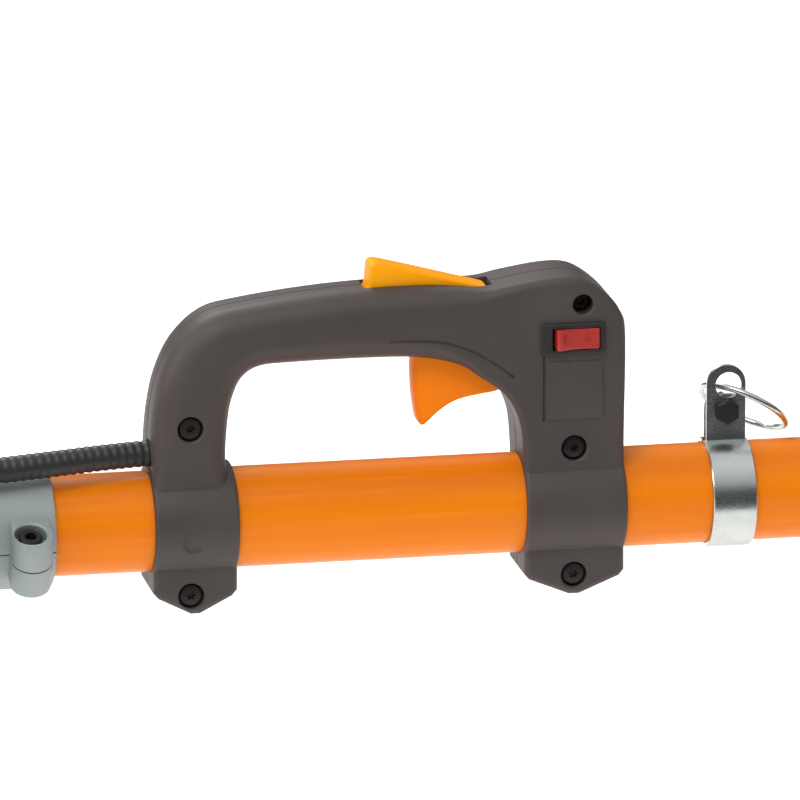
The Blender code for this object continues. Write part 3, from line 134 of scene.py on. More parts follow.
class Paint:
    """A material under construction, made of a Principled shader and the nodes that feed it."""

    def __init__(self, name: str) -> None:
        """Starts a material of that name.

        Args:
            name: the material's name.
        """
        self.material = bpy.data.materials.new(name)
        self.material.use_nodes = True
        self.tree = self.material.node_tree
        self.shader = self.tree.nodes["Principled BSDF"]

    def node(self, kind: str, settings: dict, inputs: dict, output: object = 0) -> Value:
        """Adds one node.

        Args:
            kind: the node's type.
            settings: its properties, set first; "stops" gives a colour ramp's stops.
            inputs: values or links for its sockets, by name or index.
            output: the output wanted, by name or index.

        Returns:
            The wanted output.
        """
        made = self.tree.nodes.new(kind)
        for key, value in settings.items():
            if key == "stops":
                self.set_stops(made, value)
            else:
                setattr(made, key, value)
        for key, value in inputs.items():
            if isinstance(value, Value):
                self.tree.links.new(value.socket, made.inputs[key])
            else:
                made.inputs[key].default_value = value
        return Value(self, made.outputs[output])

    @staticmethod
    def set_stops(ramp: bpy.types.Node, stops: Sequence[tuple]) -> None:
        """Sets a ramp's stops as (place, brightness or colour).

        Args:
            ramp: the colour ramp node.
            stops: its stops, from left to right.
        """
        elements = ramp.color_ramp.elements
        while len(elements) < len(stops):
            elements.new(0.5)
        for element, (place, colour) in zip(elements, stops):
            element.position = place
            element.color = (colour, colour, colour, 1) if isinstance(colour, (int, float)) else (*colour, 1)

    def place(self, scale: Point = (1, 1, 1)) -> Value:
        """Object coordinates, stretched by a scale."""
        seen = self.node("ShaderNodeTexCoord", {}, {}, "Object")
        return self.node("ShaderNodeMapping", {}, {"Vector": seen, "Scale": scale})

    def noise(self, scale: float, detail: float = 3, stretch: Point = (1, 1, 1)) -> Value:
        """A noise from 0 to 1.

        Args:
            scale: how many lumps go to a metre.
            detail: octaves of finer lumps.
            stretch: the stretch along each axis.

        Returns:
            The noise.
        """
        return self.node("ShaderNodeTexNoise", {},
                         {"Vector": self.place(stretch), "Scale": scale, "Detail": detail, "Roughness": 0.55},
                         "Fac")

    def ramp(self, value: Value, low: float, high: float) -> Value:
        """0 where the value is at or below low, 1 at or above high."""
        return self.node("ShaderNodeMapRange", {"clamp": True},
                         {"Value": value, "From Min": low, "From Max": high}, "Result")

    def mix(self, amount: object, first: object, second: object) -> Value:
        """A blend of two colours.

        Args:
            amount: 0 for the first colour, 1 for the second.
            first: a colour or value.
            second: a colour or value.

        Returns:
            The blend.
        """
        made = self.tree.nodes.new("ShaderNodeMix")
        made.data_type = "RGBA"
        sockets = {0: amount, 6: first, 7: second}
        for key, value in sockets.items():
            if isinstance(value, Value):
                self.tree.links.new(value.socket, made.inputs[key])
            elif key:
                made.inputs[key].default_value = (*value, 1)
            else:
                made.inputs[key].default_value = value
        return Value(self, made.outputs[2])

    def feed(self, socket: str, value: object) -> None:
        """Links or sets one of the shader's inputs.

        Args:
            socket: the input's name.
            value: a number, colour or value.
        """
        if isinstance(value, Value):
            self.tree.links.new(value.socket, self.shader.inputs[socket])
        elif isinstance(value, tuple):
            self.shader.inputs[socket].default_value = (*value, 1)
        else:
            self.shader.inputs[socket].default_value = value

    def bump(self, height: Value, strength: float, distance: float) -> None:
        """Feeds the shader's normal from a height.

        Args:
            height: the relief.
            strength: how strongly it shows, 0 to 1.
            distance: its depth in metres.
        """
        normal = self.node("ShaderNodeBump", {},
                           {"Height": height, "Strength": strength, "Distance": distance}, "Normal")
        self.tree.links.new(normal.socket, self.shader.inputs["Normal"])


@dataclass(frozen=True)
class Finish:
    """One finish: its colours, gloss, grain and how wear changes it."""

    name: str
    colour: tuple
    worn: tuple
    roughness: float
    metallic: float = 0.0
    coat: float = 0.0
    grain: float = 2200.0
    grain_depth: float = 0.00003
    patch: float = 26.0
    stretch: tuple = (1.0, 1.0, 1.0)
    amount: float = 0.5
    sheer: float = 0.0
    gleam: float = 0.5
    cloud: tuple = (0.38, 0.68)
    broad_gloss: float = 0.22
    fine_gloss: float = 0.08
    coat_gloss: float = 0.12
    relief: float = 0.6

    def make(self) -> bpy.types.Material:
        """Builds the finish's material.

        Returns:
            The material.
        """
        paint = Paint(self.name)
        broad = paint.noise(self.patch, 4, self.stretch)
        fine = paint.noise(self.grain, 2, self.stretch)
        cloud = paint.ramp(broad, *self.cloud)
        paint.feed("Base Color", paint.mix(cloud * self.amount, self.colour, self.worn))
        gloss = self.roughness + (broad - 0.5) * self.broad_gloss + (fine - 0.5) * self.fine_gloss
        paint.feed("Roughness", gloss.clamp())
        paint.feed("Metallic", self.metallic)
        paint.feed("Coat Weight", self.coat)
        paint.feed("Coat Roughness", self.coat_gloss)
        paint.feed("Specular IOR Level", self.gleam)
        if self.sheer:
            paint.feed("Transmission Weight", self.sheer)
        paint.bump(fine, self.relief, self.grain_depth)
        return paint.material


@dataclass(frozen=True)
class TubeFinish:
    """Pigmented glass fibre: faint lengthwise fibres under a clear skin."""

    name: str = "orange_glass_fibre"
    colour: tuple = (0.86, 0.215, 0.0015)
    deep: tuple = (0.72, 0.150, 0.0015)
    light: tuple = (0.93, 0.285, 0.006)

    def make(self) -> bpy.types.Material:
        """Builds the tube's material.

        Returns:
            The material.
        """
        paint = Paint(self.name)
        fibres = paint.noise(420, 3, (0.02, 1, 1))
        bands = paint.noise(90, 2, (0.03, 1, 1))
        mottle = paint.noise(30, 3)
        dark = paint.mix(paint.ramp(bands, 0.42, 0.64) * 0.45, self.colour, self.deep)
        paint.feed("Base Color", paint.mix(paint.ramp(fibres, 0.52, 0.72) * 0.35, dark, self.light))
        paint.feed("Roughness", (0.34 + (mottle - 0.5) * 0.16 + (fibres - 0.5) * 0.10).clamp())
        paint.feed("Specular IOR Level", 0.18)
        paint.feed("Coat Weight", 0.06)
        paint.feed("Coat Roughness", 0.25)
        paint.bump(fibres, 0.35, 0.00006)
        return paint.material


FINISHES = {
    "dark_plastic": Finish("handle_plastic", (0.062, 0.050, 0.046), (0.078, 0.065, 0.061), 0.52, grain=1700,
                           grain_depth=0.00006, gleam=0.38),
    "black_plastic": Finish("black_moulding", (0.022, 0.021, 0.022), (0.032, 0.031, 0.032), 0.48),
    "orange_plastic": Finish("orange_moulding", (0.90, 0.20, 0.001), (0.94, 0.24, 0.002), 0.46, gleam=0.12),
    "red_plastic": Finish("red_moulding", (0.40, 0.020, 0.014), (0.50, 0.032, 0.024), 0.34, coat=0.15),
    "grey_plastic": Finish("grey_moulding", (0.10, 0.105, 0.11), (0.13, 0.135, 0.14), 0.5),
    "cast_alloy": Finish("blasted_casting", (0.36, 0.405, 0.395), (0.28, 0.32, 0.33), 0.58, metallic=0.35,
                         grain=900, grain_depth=0.00016, patch=40),
    "aluminium": Finish("drawn_aluminium", (0.62, 0.63, 0.64), (0.52, 0.53, 0.54), 0.34, metallic=1.0,
                        stretch=(0.04, 1, 1), grain=1400),
    "steel": Finish("bright_steel", (0.46, 0.46, 0.47), (0.36, 0.355, 0.35), 0.36, metallic=1.0),
    "zinc": Finish("zinc_plate", (0.60, 0.64, 0.62), (0.46, 0.51, 0.50), 0.26, metallic=0.97, patch=90),
    "black_steel": Finish("black_oxide", (0.028, 0.025, 0.025), (0.05, 0.045, 0.042), 0.42, metallic=0.6),
    "rubber": Finish("rubber", (0.018, 0.018, 0.018), (0.03, 0.03, 0.03), 0.8),
    "foam": Finish("closed_cell_foam", (0.020, 0.020, 0.021), (0.034, 0.034, 0.035), 0.92, grain=650,
                   grain_depth=0.0004),
    "clear_bulb": Finish("bulb_plastic", (0.62, 0.62, 0.55), (0.7, 0.7, 0.62), 0.2, coat=0.5, sheer=0.4),
    "tank_plastic": Finish("tank_plastic", (0.68, 0.66, 0.58), (0.60, 0.57, 0.47), 0.38, coat=0.1),
}


SPECIAL = (
    Finish("light_orange_moulding", (1.0, 0.37, 0.001), (1.0, 0.42, 0.003), 0.46, gleam=0.12),
    Finish("ground_steel", (0.50, 0.50, 0.51), (0.40, 0.40, 0.41), 0.30, metallic=1.0, grain=900,
           stretch=(0.05, 1, 0.25), patch=30),
    Finish("sooted_steel", (0.22, 0.21, 0.20), (0.13, 0.115, 0.10), 0.5, metallic=0.9, grain=900))


class Palette:
    """Makes each finish once and hands it out by the record's slot name."""

    def __init__(self) -> None:
        """Builds every finish."""
        self.made = {slot: finish.make() for slot, finish in FINISHES.items()}
        self.made["orange_tube"] = TubeFinish().make()
        self.special = {finish.name: finish.make() for finish in SPECIAL}

    def dress(self, piece: bpy.types.Object, slot: str, special: str = "") -> None:
        """Gives a piece one slot's finish, or a special form of it.

        Args:
            piece: the piece.
            slot: the record's slot.
            special: the special finish's name, or nothing.
        """
        piece.data.materials.clear()
        piece.data.materials.append(self.special[special] if special else self.made[slot])


# --- Bench: modelling helpers -------------------------------------------------------------------------------
def linked(name: str, data: bpy.types.ID) -> bpy.types.Object:
    """Puts a new object into the scene.

    Args:
        name: the object's name.
        data: its mesh, curve, lamp or camera.

    Returns:
        The object.
    """
    made = bpy.data.objects.new(name, data)
    bpy.context.scene.collection.objects.link(made)
    return made


class Bench:
    """Modelling steps that every sub-assembly shares."""

    def __init__(self, palette: Palette) -> None:
        """Keeps the palette that finished pieces are dressed from."""
        self.palette = palette

    @staticmethod
    def alone(piece: bpy.types.Object) -> None:
        """Selects one piece and nothing else.

        Args:
            piece: the piece to select.
        """
        bpy.ops.object.select_all(action="DESELECT")
        piece.select_set(True)
        bpy.context.view_layer.objects.active = piece

    def settle(self, piece: bpy.types.Object) -> bpy.types.Object:
        """Applies a piece's place and turn to its mesh.

        Args:
            piece: the piece.

        Returns:
            The same piece.
        """
        self.alone(piece)
        bpy.ops.object.transform_apply(location=True, rotation=True, scale=True)
        return piece

    def apply(self, piece: bpy.types.Object, kind: str, **settings: object) -> bpy.types.Object:
        """Adds one modifier and applies it.

        Args:
            piece: the piece.
            kind: the modifier's type.
            settings: the modifier's properties.

        Returns:
            The same piece.
        """
        self.alone(piece)
        modifier = piece.modifiers.new(kind.lower(), kind)
        for key, value in settings.items():
            setattr(modifier, key, value)
        bpy.ops.object.modifier_apply(modifier=modifier.name)
        return piece

    def bevel(self, piece: bpy.types.Object, width: float, segments: int = 3,
              angle: float = 35.0) -> bpy.types.Object:
        """Rounds a piece's sharp edges."""
        return self.apply(piece, "BEVEL", width=width, segments=segments, limit_method="ANGLE",
                          angle_limit=math.radians(angle), use_clamp_overlap=True)

    def boolean(self, piece: bpy.types.Object, operation: str, *others: bpy.types.Object) -> bpy.types.Object:
        """Cuts or joins other pieces into one and removes them.

        Args:
            piece: the piece that stays.
            operation: DIFFERENCE or UNION.
            others: the pieces used up.

        Returns:
            The piece that stays.
        """
        for other in others:
            self.apply(piece, "BOOLEAN", operation=operation, solver="EXACT", object=other)
            bpy.data.objects.remove(other)
        return piece

    def cut(self, piece: bpy.types.Object, *others: bpy.types.Object) -> bpy.types.Object:
        """Takes other pieces' shapes out of one."""
        return self.boolean(piece, "DIFFERENCE", *others)

    def fuse(self, piece: bpy.types.Object, *others: bpy.types.Object) -> bpy.types.Object:
        """Joins other pieces to one."""
        return self.boolean(piece, "UNION", *others)

    def box(self, name: str, low: Point, high: Point) -> bpy.types.Object:
        """A block between two corners.

        Args:
            name: the piece's name.
            low: its lowest corner.
            high: its highest corner.

        Returns:
            The block.
        """
        low, high = Vector(low), Vector(high)
        bpy.ops.object.select_all(action="DESELECT")
        bpy.ops.mesh.primitive_cube_add(size=1, location=(low + high) / 2)
        piece = bpy.context.object
        piece.name = name
        piece.scale = high - low
        return self.settle(piece)

    def rod(self, name: str, centre: Point, axis: Axis, radius: float, length: float,
            sides: int = 48, top: float | None = None) -> bpy.types.Object:
        """A round bar, or a cone where top gives its other radius.

        Args:
            name: the piece's name.
            centre: its middle.
            axis: the direction of its length.
            radius: its radius, at the low end for a cone.
            length: its length.
            sides: facets round it.
            top: a cone's radius at the high end.

        Returns:
            The bar.
        """
        bpy.ops.object.select_all(action="DESELECT")
        bpy.ops.mesh.primitive_cone_add(vertices=sides, radius1=radius, depth=length,
                                        radius2=radius if top is None else top)
        piece = bpy.context.object
        piece.name = name
        piece.matrix_world = Matrix.Translation(centre) @ axis.matrix
        return self.settle(piece)

    def turned(self, name: str, profile: Sequence[tuple], centre: Point, axis: Axis,
               steps: int = 96) -> bpy.types.Object:
        """A turned piece from the (radius, height) points of its closed profile.

        Args:
            name: the piece's name.
            profile: the closed profile.
            centre: where the profile's zero goes.
            axis: the direction of its height.
            steps: facets round it.

        Returns:
            The turned piece.
        """
        count = len(profile)
        pairs = [(i, (i + 1) % count) for i in range(count)]
        mesh = bpy.data.meshes.new(name)
        mesh.from_pydata([(r, 0, h) for r, h in profile],
                         [(i, j) for i, j in pairs if profile[i][0] or profile[j][0]], [])
        piece = linked(name, mesh)
        self.apply(piece, "SCREW", steps=steps, render_steps=steps, use_merge_vertices=True,
                   merge_threshold=1e-5, use_smooth_shade=True)
        piece.matrix_world = Matrix.Translation(centre) @ axis.matrix
        self.settle(piece)
        return self.outwards(piece)

    def outwards(self, piece: bpy.types.Object) -> bpy.types.Object:
        """Merges a piece's doubles and turns its faces outwards.

        Args:
            piece: the piece.

        Returns:
            The same piece.
        """
        self.alone(piece)
        bpy.ops.object.mode_set(mode="EDIT")
        bpy.ops.mesh.select_all(action="SELECT")
        bpy.ops.mesh.remove_doubles(threshold=MERGE)
        bpy.ops.mesh.normals_make_consistent(inside=False)
        bpy.ops.object.mode_set(mode="OBJECT")
        return piece

    def loft(self, name: str, rows: Sequence[Sequence[Point]]) -> bpy.types.Object:
        """A closed skin through loops of equally many points, capped at both ends.

        Args:
            name: the piece's name.
            rows: the loops, from one end to the other.

        Returns:
            The skin.
        """
        work = bmesh.new()
        loops = [[work.verts.new(place) for place in row] for row in rows]
        count = len(rows[0])
        for low, high in zip(loops, loops[1:]):
            for i in range(count):
                j = (i + 1) % count
                work.faces.new((low[i], low[j], high[j], high[i]))
        for row in (loops[0], loops[-1]):
            rim = [work.edges.get((row[i], row[(i + 1) % count])) for i in range(count)]
            bmesh.ops.triangle_fill(work, use_beauty=True, use_dissolve=False, edges=rim)
        mesh = bpy.data.meshes.new(name)
        work.to_mesh(mesh)
        work.free()
        piece = linked(name, mesh)
        return self.outwards(piece)

    def cushion(self, name: str, outline: Sequence[Point], low: float, high: float,
                edge: float | Callable[[Vector], float], axis: Axis = Axis.NEAR,
                steps: int = 6) -> bpy.types.Object:
        """A plate whose two rims are rounded by an edge radius.

        Args:
            name: the piece's name.
            outline: (x, z) points for NEAR, (y, z) for X and (x, y) for Z.
            low: lower height, in pole coordinates.
            high: upper height.
            edge: the rims' radius, or a function that gives it for a point of the outline.
            axis: the direction of the thickness.
            steps: facets across each rounded rim.

        Returns:
            The plate.
        """
        turns = [math.pi / 2 * k / steps for k in range(steps + 1)]
        flat = [Vector(p[:2]) for p in outline]
        radii = [edge(p) if callable(edge) else edge for p in flat]
        place = {Axis.X: lambda p, h: (h, p.x, p.y), Axis.NEAR: lambda p, h: (p.x, h, p.y),
                 Axis.Z: lambda p, h: (p.x, p.y, h)}[axis]
        rows = []
        for end, way, order in ((low, 1, reversed(turns)), (high, -1, turns)):
            for turn in order:
                shrunk = inset(flat, [r * (1 - math.cos(turn)) for r in radii])
                rows.append([place(p, end + way * r * (1 - math.sin(turn))) for p, r in zip(shrunk, radii)])
        return self.loft(name, rows)

    def sweep(self, name: str, route: Sequence[Point], radius: float, sides: int = 4,
              cyclic: bool = False, swell: Callable[[int], float] | None = None) -> bpy.types.Object:
        """A round bar along a route; swell scales its radius point by point.

        Args:
            name: the piece's name.
            route: points along its middle.
            radius: its radius.
            sides: how finely it is rounded.
            cyclic: whether the route closes on itself.
            swell: the radius at a point of the route, as a share of the whole.

        Returns:
            The bar.
        """
        line = bpy.data.curves.new(name, "CURVE")
        line.dimensions = "3D"
        line.bevel_depth = radius
        line.bevel_resolution = sides
        line.use_fill_caps = True
        spline = line.splines.new("POLY")
        spline.points.add(len(route) - 1)
        for i, (point, place) in enumerate(zip(spline.points, route)):
            point.co = (*place, 1)
            point.radius = swell(i) if swell else 1.0
        spline.use_cyclic_u = cyclic
        piece = linked(name, line)
        self.alone(piece)
        bpy.ops.object.convert(target="MESH")
        return self.outwards(bpy.context.object)

    def finish(self, piece: bpy.types.Object, slot: str, body: str, *nodes: str,
               angle: float = 32.0, special: str = "") -> bpy.types.Object:
        """Shades, dresses and places a piece.

        Args:
            piece: the piece, still in pole coordinates.
            slot: the record's slot that its finish comes from.
            body: the CAD body that it rides on.
            nodes: the CAD nodes that it stands for.
            angle: edges sharper than this many degrees stay sharp.
            special: a special finish to use in place of the slot's own.

        Returns:
            The piece.
        """
        self.alone(piece)
        bpy.ops.object.shade_smooth_by_angle(angle=math.radians(angle))
        piece.data.transform(Matrix.Translation(ORIGIN))
        self.palette.dress(piece, slot, special)
        if nodes:
            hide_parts(*nodes)
        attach(piece, body)
        LOG.info("%s rides on %s", piece.name, body)
        return piece


def arc(centre: Point, radius: float, start: float, end: float, steps: int) -> list[tuple]:
    """Points of an arc between two angles in degrees.

    Args:
        centre: the arc's centre.
        radius: its radius.
        start: its first angle.
        end: its last angle.
        steps: how many pieces it has.

    Returns:
        The points, both ends included.
    """
    return [(centre[0] + radius * math.cos(math.radians(start + (end - start) * k / steps)),
             centre[1] + radius * math.sin(math.radians(start + (end - start) * k / steps)))
            for k in range(steps + 1)]


def flowing(knots: Sequence[Point], per_span: int = 6, closed: bool = False) -> list[Vector]:
    """Points of a Catmull-Rom curve through knots of any dimension.

    Args:
        knots: points that the curve passes through.
        per_span: points between two knots.
        closed: whether it returns to its start.

    Returns:
        The points.
    """
    knots = [Vector(k) for k in knots]
    if closed:
        padded = [knots[-1], *knots, knots[0], knots[1]]
    else:
        padded = [2 * knots[0] - knots[1], *knots, 2 * knots[-1] - knots[-2]]
    points = []
    for a, b, c, d in zip(padded, padded[1:], padded[2:], padded[3:]):
        for k in range(per_span):
            t = k / per_span
            points.append(0.5 * (2 * b + (c - a) * t + (2 * a - 5 * b + 4 * c - d) * t * t
                                 + (3 * b - a - 3 * c + d) * t ** 3))
    return points if closed else [*points, knots[-1]]


def inset(outline: Sequence[Point], amounts: Sequence[float]) -> list[Vector]:
    """A closed outline moved inwards by one distance for each of its points.

    Args:
        outline: the closed outline.
        amounts: the distance for each point.

    Returns:
        The moved points.
    """
    count = len(outline)
    area = sum(a[0] * b[1] - b[0] * a[1] for a, b in zip(outline, [*outline[1:], outline[0]]))
    side = 1 if area > 0 else -1
    moved = []
    for i, amount in enumerate(amounts):
        here = Vector(outline[i][:2])
        back = (here - Vector(outline[i - 1][:2])).normalized()
        ahead = (Vector(outline[(i + 1) % count][:2]) - here).normalized()
        normal = Vector((-(back + ahead).y, (back + ahead).x)).normalized() * side
        mitre = max(0.6, normal.dot(Vector((-ahead.y, ahead.x)) * side))
        moved.append(here + normal * amount / mitre)
    return moved


class SubAssembly:
    """One sub-assembly of the pole saw, made on the bench to its sizes."""

    def __init__(self, bench: Bench, sizes: object) -> None:
        """Keeps the bench and sizes.

        Args:
            bench: the modelling steps.
            sizes: the sub-assembly's dataclass of sizes.
        """
        self.bench = bench
        self.sizes = sizes


# --- Handle -------------------------------------------------------------------------------------------------
@dataclass
class HandleSizes:
    """The moulded loop handle: its side view, edge radii and fixings."""

    half: float = 0.018
    saddle: float = 0.0252
    lip: float = 0.0018
    rear_leg: tuple = (-0.112, -0.075)
    front_leg: tuple = (0.052, 0.0965)
    outside: tuple = (
        (-0.112, -0.0285, 0.003), (-0.112, 0.012, 0.003), (-0.1112, 0.024, 0.006), (-0.112, 0.034, 0.009),
        (-0.111, 0.050, 0.0115), (-0.1075, 0.066, 0.0115), (-0.100, 0.081, 0.0115), (-0.087, 0.0925, 0.0115),
        (-0.070, 0.0965, 0.0115), (-0.041, 0.1000, 0.0115), (-0.015, 0.1016, 0.0115), (0.012, 0.1016, 0.010),
        (0.033, 0.0998, 0.006), (0.047, 0.1018, 0.004), (0.065, 0.1043, 0.004), (0.077, 0.1034, 0.004),
        (0.0875, 0.0966, 0.004), (0.0945, 0.088, 0.004), (0.097, 0.076, 0.004), (0.0965, 0.030, 0.004),
        (0.0965, -0.0285, 0.003))
    front_foot: tuple = ((0.0943, -0.0312, 0.003), (0.0765, -0.0385, 0.003), (0.0720, -0.0385, 0.003),
                         (0.0543, -0.0312, 0.003))
    opening: tuple = (
        (0.052, -0.0285, 0.003), (0.052, 0.012, 0.003), (0.0515, 0.0274, 0.003), (0.0502, 0.0387, 0.003),
        (0.0467, 0.0479, 0.003), (0.0414, 0.0547, 0.003), (0.0324, 0.0612, 0.003), (0.0236, 0.0666, 0.006),
        (0.0059, 0.0702, 0.009), (-0.020, 0.0705, 0.0115), (-0.050, 0.0702, 0.0115),
        (-0.064, 0.0692, 0.0115), (-0.0715, 0.0645, 0.0115), (-0.0755, 0.056, 0.0115),
        (-0.0775, 0.046, 0.0115), (-0.0790, 0.030, 0.009), (-0.0782, 0.018, 0.006), (-0.075, 0.012, 0.003),
        (-0.075, -0.0285, 0.003))
    rear_foot: tuple = ((-0.0773, -0.0312, 0.003), (-0.0915, -0.0385, 0.003), (-0.0955, -0.0385, 0.003),
                        (-0.1097, -0.0312, 0.003))
    screws: tuple = ((-0.0955, 0.0447), (-0.0955, -0.0300), (0.0739, 0.0278), (0.0739, -0.0293),
                     (0.0775, 0.0921))
    switch_hole: tuple = ((0.0602, 0.0720), (0.0858, 0.0824))
    seam_edge: float = 0.0004
    least_edge: float = 0.002
    edge_steps: int = 10
    beyond: float = 0.02
    reach: float = 0.2
    trigger_slot: tuple = ((-0.0010, -0.0074, 0.0520), (0.0500, 0.0074, 0.0795))
    lever_room: tuple = ((-0.0008, -0.0074, 0.0600), (0.0580, 0.0074, 0.0885))
    lockout_slot: tuple = ((-0.0172, -0.0074, 0.090), (0.0395, 0.0074, 0.115))
    hose_way: tuple = (-0.105, -0.0042, 0.0317)
    hose_way_radius: float = 0.0063
    hose_way_length: float = 0.03
    top_screw: int = 4
    bore: tuple = (0.0057, 0.0055)
    top_bore: tuple = (0.0045, 0.0100)
    head: tuple = (0.0048, 0.0052)
    top_head: tuple = (0.0040, 0.0102)
    recess: float = 0.0030
    lobes: int = 3
    lobe: tuple = ((-0.0019, -0.002, -0.0005), (0.0019, 0.0015, 0.0005))
    lobe_core: float = 0.0013
    panel: tuple = ((0.0615, -0.0186, 0.0410), (0.0865, -0.0150, 0.0670))
    panel_edge: float = 0.0007
    panel_line: tuple = ((0.0596, -0.0200, 0.0405), (0.0606, -0.0172, 0.0700))
    groove_radius: float = 0.0007
    mark: tuple = (-0.0955, -0.0050)
    mark_radius: float = 0.0042
    mark_wire: float = 0.00035
    mark_sink: float = 0.0002
    groove: tuple = ((-0.008, 0.0795), (0.0060, 0.0792), (0.0180, 0.0775), (0.0290, 0.0733),
                     (0.0390, 0.0672), (0.0470, 0.0610))


class Handle(SubAssembly):
    """The two moulded shells on the pole, with their seam, mouldings and screws."""

    sizes: HandleSizes

    def outline(self) -> list[Vector]:
        """The side view as (x, z, edge radius) points, smooth along the outside and the opening.

        Returns:
            The points, in order round the handle.
        """
        s = self.sizes
        return [*flowing(s.outside, 4), *[Vector(p) for p in s.front_foot], *flowing(s.opening, 4),
                *[Vector(p) for p in s.rear_foot]]

    def slab(self, name: str, side: int, seam_edge: float = 0.0) -> bpy.types.Object:
        """One solid half, its outer edge rounded by each outline point's radius.

        Args:
            name: the half's name.
            side: -1 for the near half, 1 for the far one.
            seam_edge: the width of the small chamfer along the seam.

        Returns:
            The half, as a closed mesh.
        """
        outline = self.outline()
        flat = [p.xy for p in outline]
        radii = [max(self.sizes.least_edge, p.z) for p in outline]
        rows = [[(p.x, side * SEAM, p.y) for p in inset(flat, [seam_edge] * len(flat))],
                [(p.x, side * (SEAM + seam_edge), p.y) for p in flat]]
        steps = self.sizes.edge_steps
        for k in range(steps + 1):
            turn = math.pi / 2 * k / steps
            shrunk = inset(flat, [r * (1 - math.cos(turn)) for r in radii])
            rows.append([(p.x, side * (self.sizes.half - r * (1 - math.sin(turn))), p.y)
                         for p, r in zip(shrunk, radii)])
        return self.bench.loft(name, rows)

    def shell(self, name: str, side: int) -> bpy.types.Object:
        """One shell with its saddles, slots and counterbores.

        Args:
            name: the shell's name.
            side: -1 for the near shell, 1 for the far one.

        Returns:
            The finished shell.
        """
        b, s = self.bench, self.sizes
        shell = self.slab(name, side, s.seam_edge)
        for low, high in (s.rear_leg, s.front_leg):
            soft = [(s.saddle - s.lip + s.lip * math.sin(t), s.lip * (1 - math.cos(t)))
                    for t in (math.radians(d) for d in range(0, 91, 18))]
            profile = [(0, low), *[(r, low + h) for r, h in soft],
                       *[(r, high - h) for r, h in reversed(soft)], (0, high)]
            b.fuse(shell, b.turned(f"{name}_saddle", profile, (0, 0, 0), Axis.X))
        low, high = sorted((side * SEAM, -side * (s.half + s.beyond)))
        beyond = b.box("beyond", (-s.reach, low, -s.reach / 2), (s.reach, high, s.reach))
        b.cut(shell, beyond, b.rod("bore", (0, 0, 0), Axis.X, BORE_R, 2 * s.reach, 96))
        b.cut(shell, b.box("trigger_slot", *s.trigger_slot), b.box("lever_room", *s.lever_room),
              b.box("lockout_slot", *s.lockout_slot),
              b.rod("hose_way", s.hose_way, Axis.X, s.hose_way_radius, s.hose_way_length))
        if side < 0:
            self.near_details(shell)
        node = f"handle_shell_{'near' if side < 0 else 'far'}"
        return b.finish(shell, "dark_plastic", "pole", node, angle=38)

    def near_details(self, shell: bpy.types.Object) -> None:
        """Counterbores, switch hole, raised panel, groove and small mould marks of the near shell.

        Args:
            shell: the near shell.
        """
        b, s = self.bench, self.sizes
        for i, (x, z) in enumerate(s.screws):
            wide, deep = s.top_bore if i == s.top_screw else s.bore
            tool = [(0, -deep), (wide, -deep), (wide, -0.0006), (wide + 0.0008, 0.0002),
                    (wide + 0.0008, 0.0031), (0, 0.0031)]
            b.cut(shell, b.turned("counterbore", tool, (x, -s.half, z), Axis.NEAR, 48))
        (x0, z0), (x1, z1) = s.switch_hole
        b.cut(shell, b.box("switch_hole", (x0, -0.03, z0), (x1, -0.006, z1)))
        b.fuse(shell, b.bevel(b.box("panel", *s.panel), s.panel_edge, 3))
        b.cut(shell, b.box("panel_line", *s.panel_line))
        route = [(x, -s.half, z) for x, z in flowing(s.groove, 5)]
        b.cut(shell, b.sweep("groove", route, s.groove_radius, 3))
        mark = [(x, -s.saddle + s.mark_sink, z) for x, z in arc(s.mark, s.mark_radius, 40, 325, 19)]
        b.fuse(shell, b.sweep("mould_mark", mark, s.mark_wire, 2))

    def screws(self) -> None:
        """The sunk screws, each with a six-lobed recess."""
        b, s = self.bench, self.sizes
        for i, (x, z) in enumerate(s.screws):
            radius, under = s.top_head if i == s.top_screw else s.head
            face = -s.half + under - 0.0005 - s.recess
            head = b.turned(f"handle_screw_{i + 1}_head",
                            [(0, 0), (radius - 0.0007, 0), (radius - 0.0002, -0.0002), (radius, -0.0008),
                             (radius, -0.0030), (0.0019, -0.0030), (0.0019, -0.0100), (0, -0.0100)],
                            (x, face, z), Axis.NEAR, 48)
            for k in range(s.lobes):
                slot = b.box("lobe", *s.lobe)
                turn = Matrix.Rotation(k * math.pi / s.lobes, 4, "Y")
                slot.matrix_world = Matrix.Translation((x, face, z)) @ turn
                b.cut(head, b.settle(slot))
            b.cut(head, b.rod("lobe_core", (x, face, z), Axis.NEAR, s.lobe_core, s.recess, 24))
            b.finish(head, "black_steel", "pole", f"handle_screw_{i + 1}")

    def build(self) -> None:
        """Makes both shells and the screws."""
        self.shell("handle_near", -1)
        self.shell("handle_far", 1)
        self.screws()


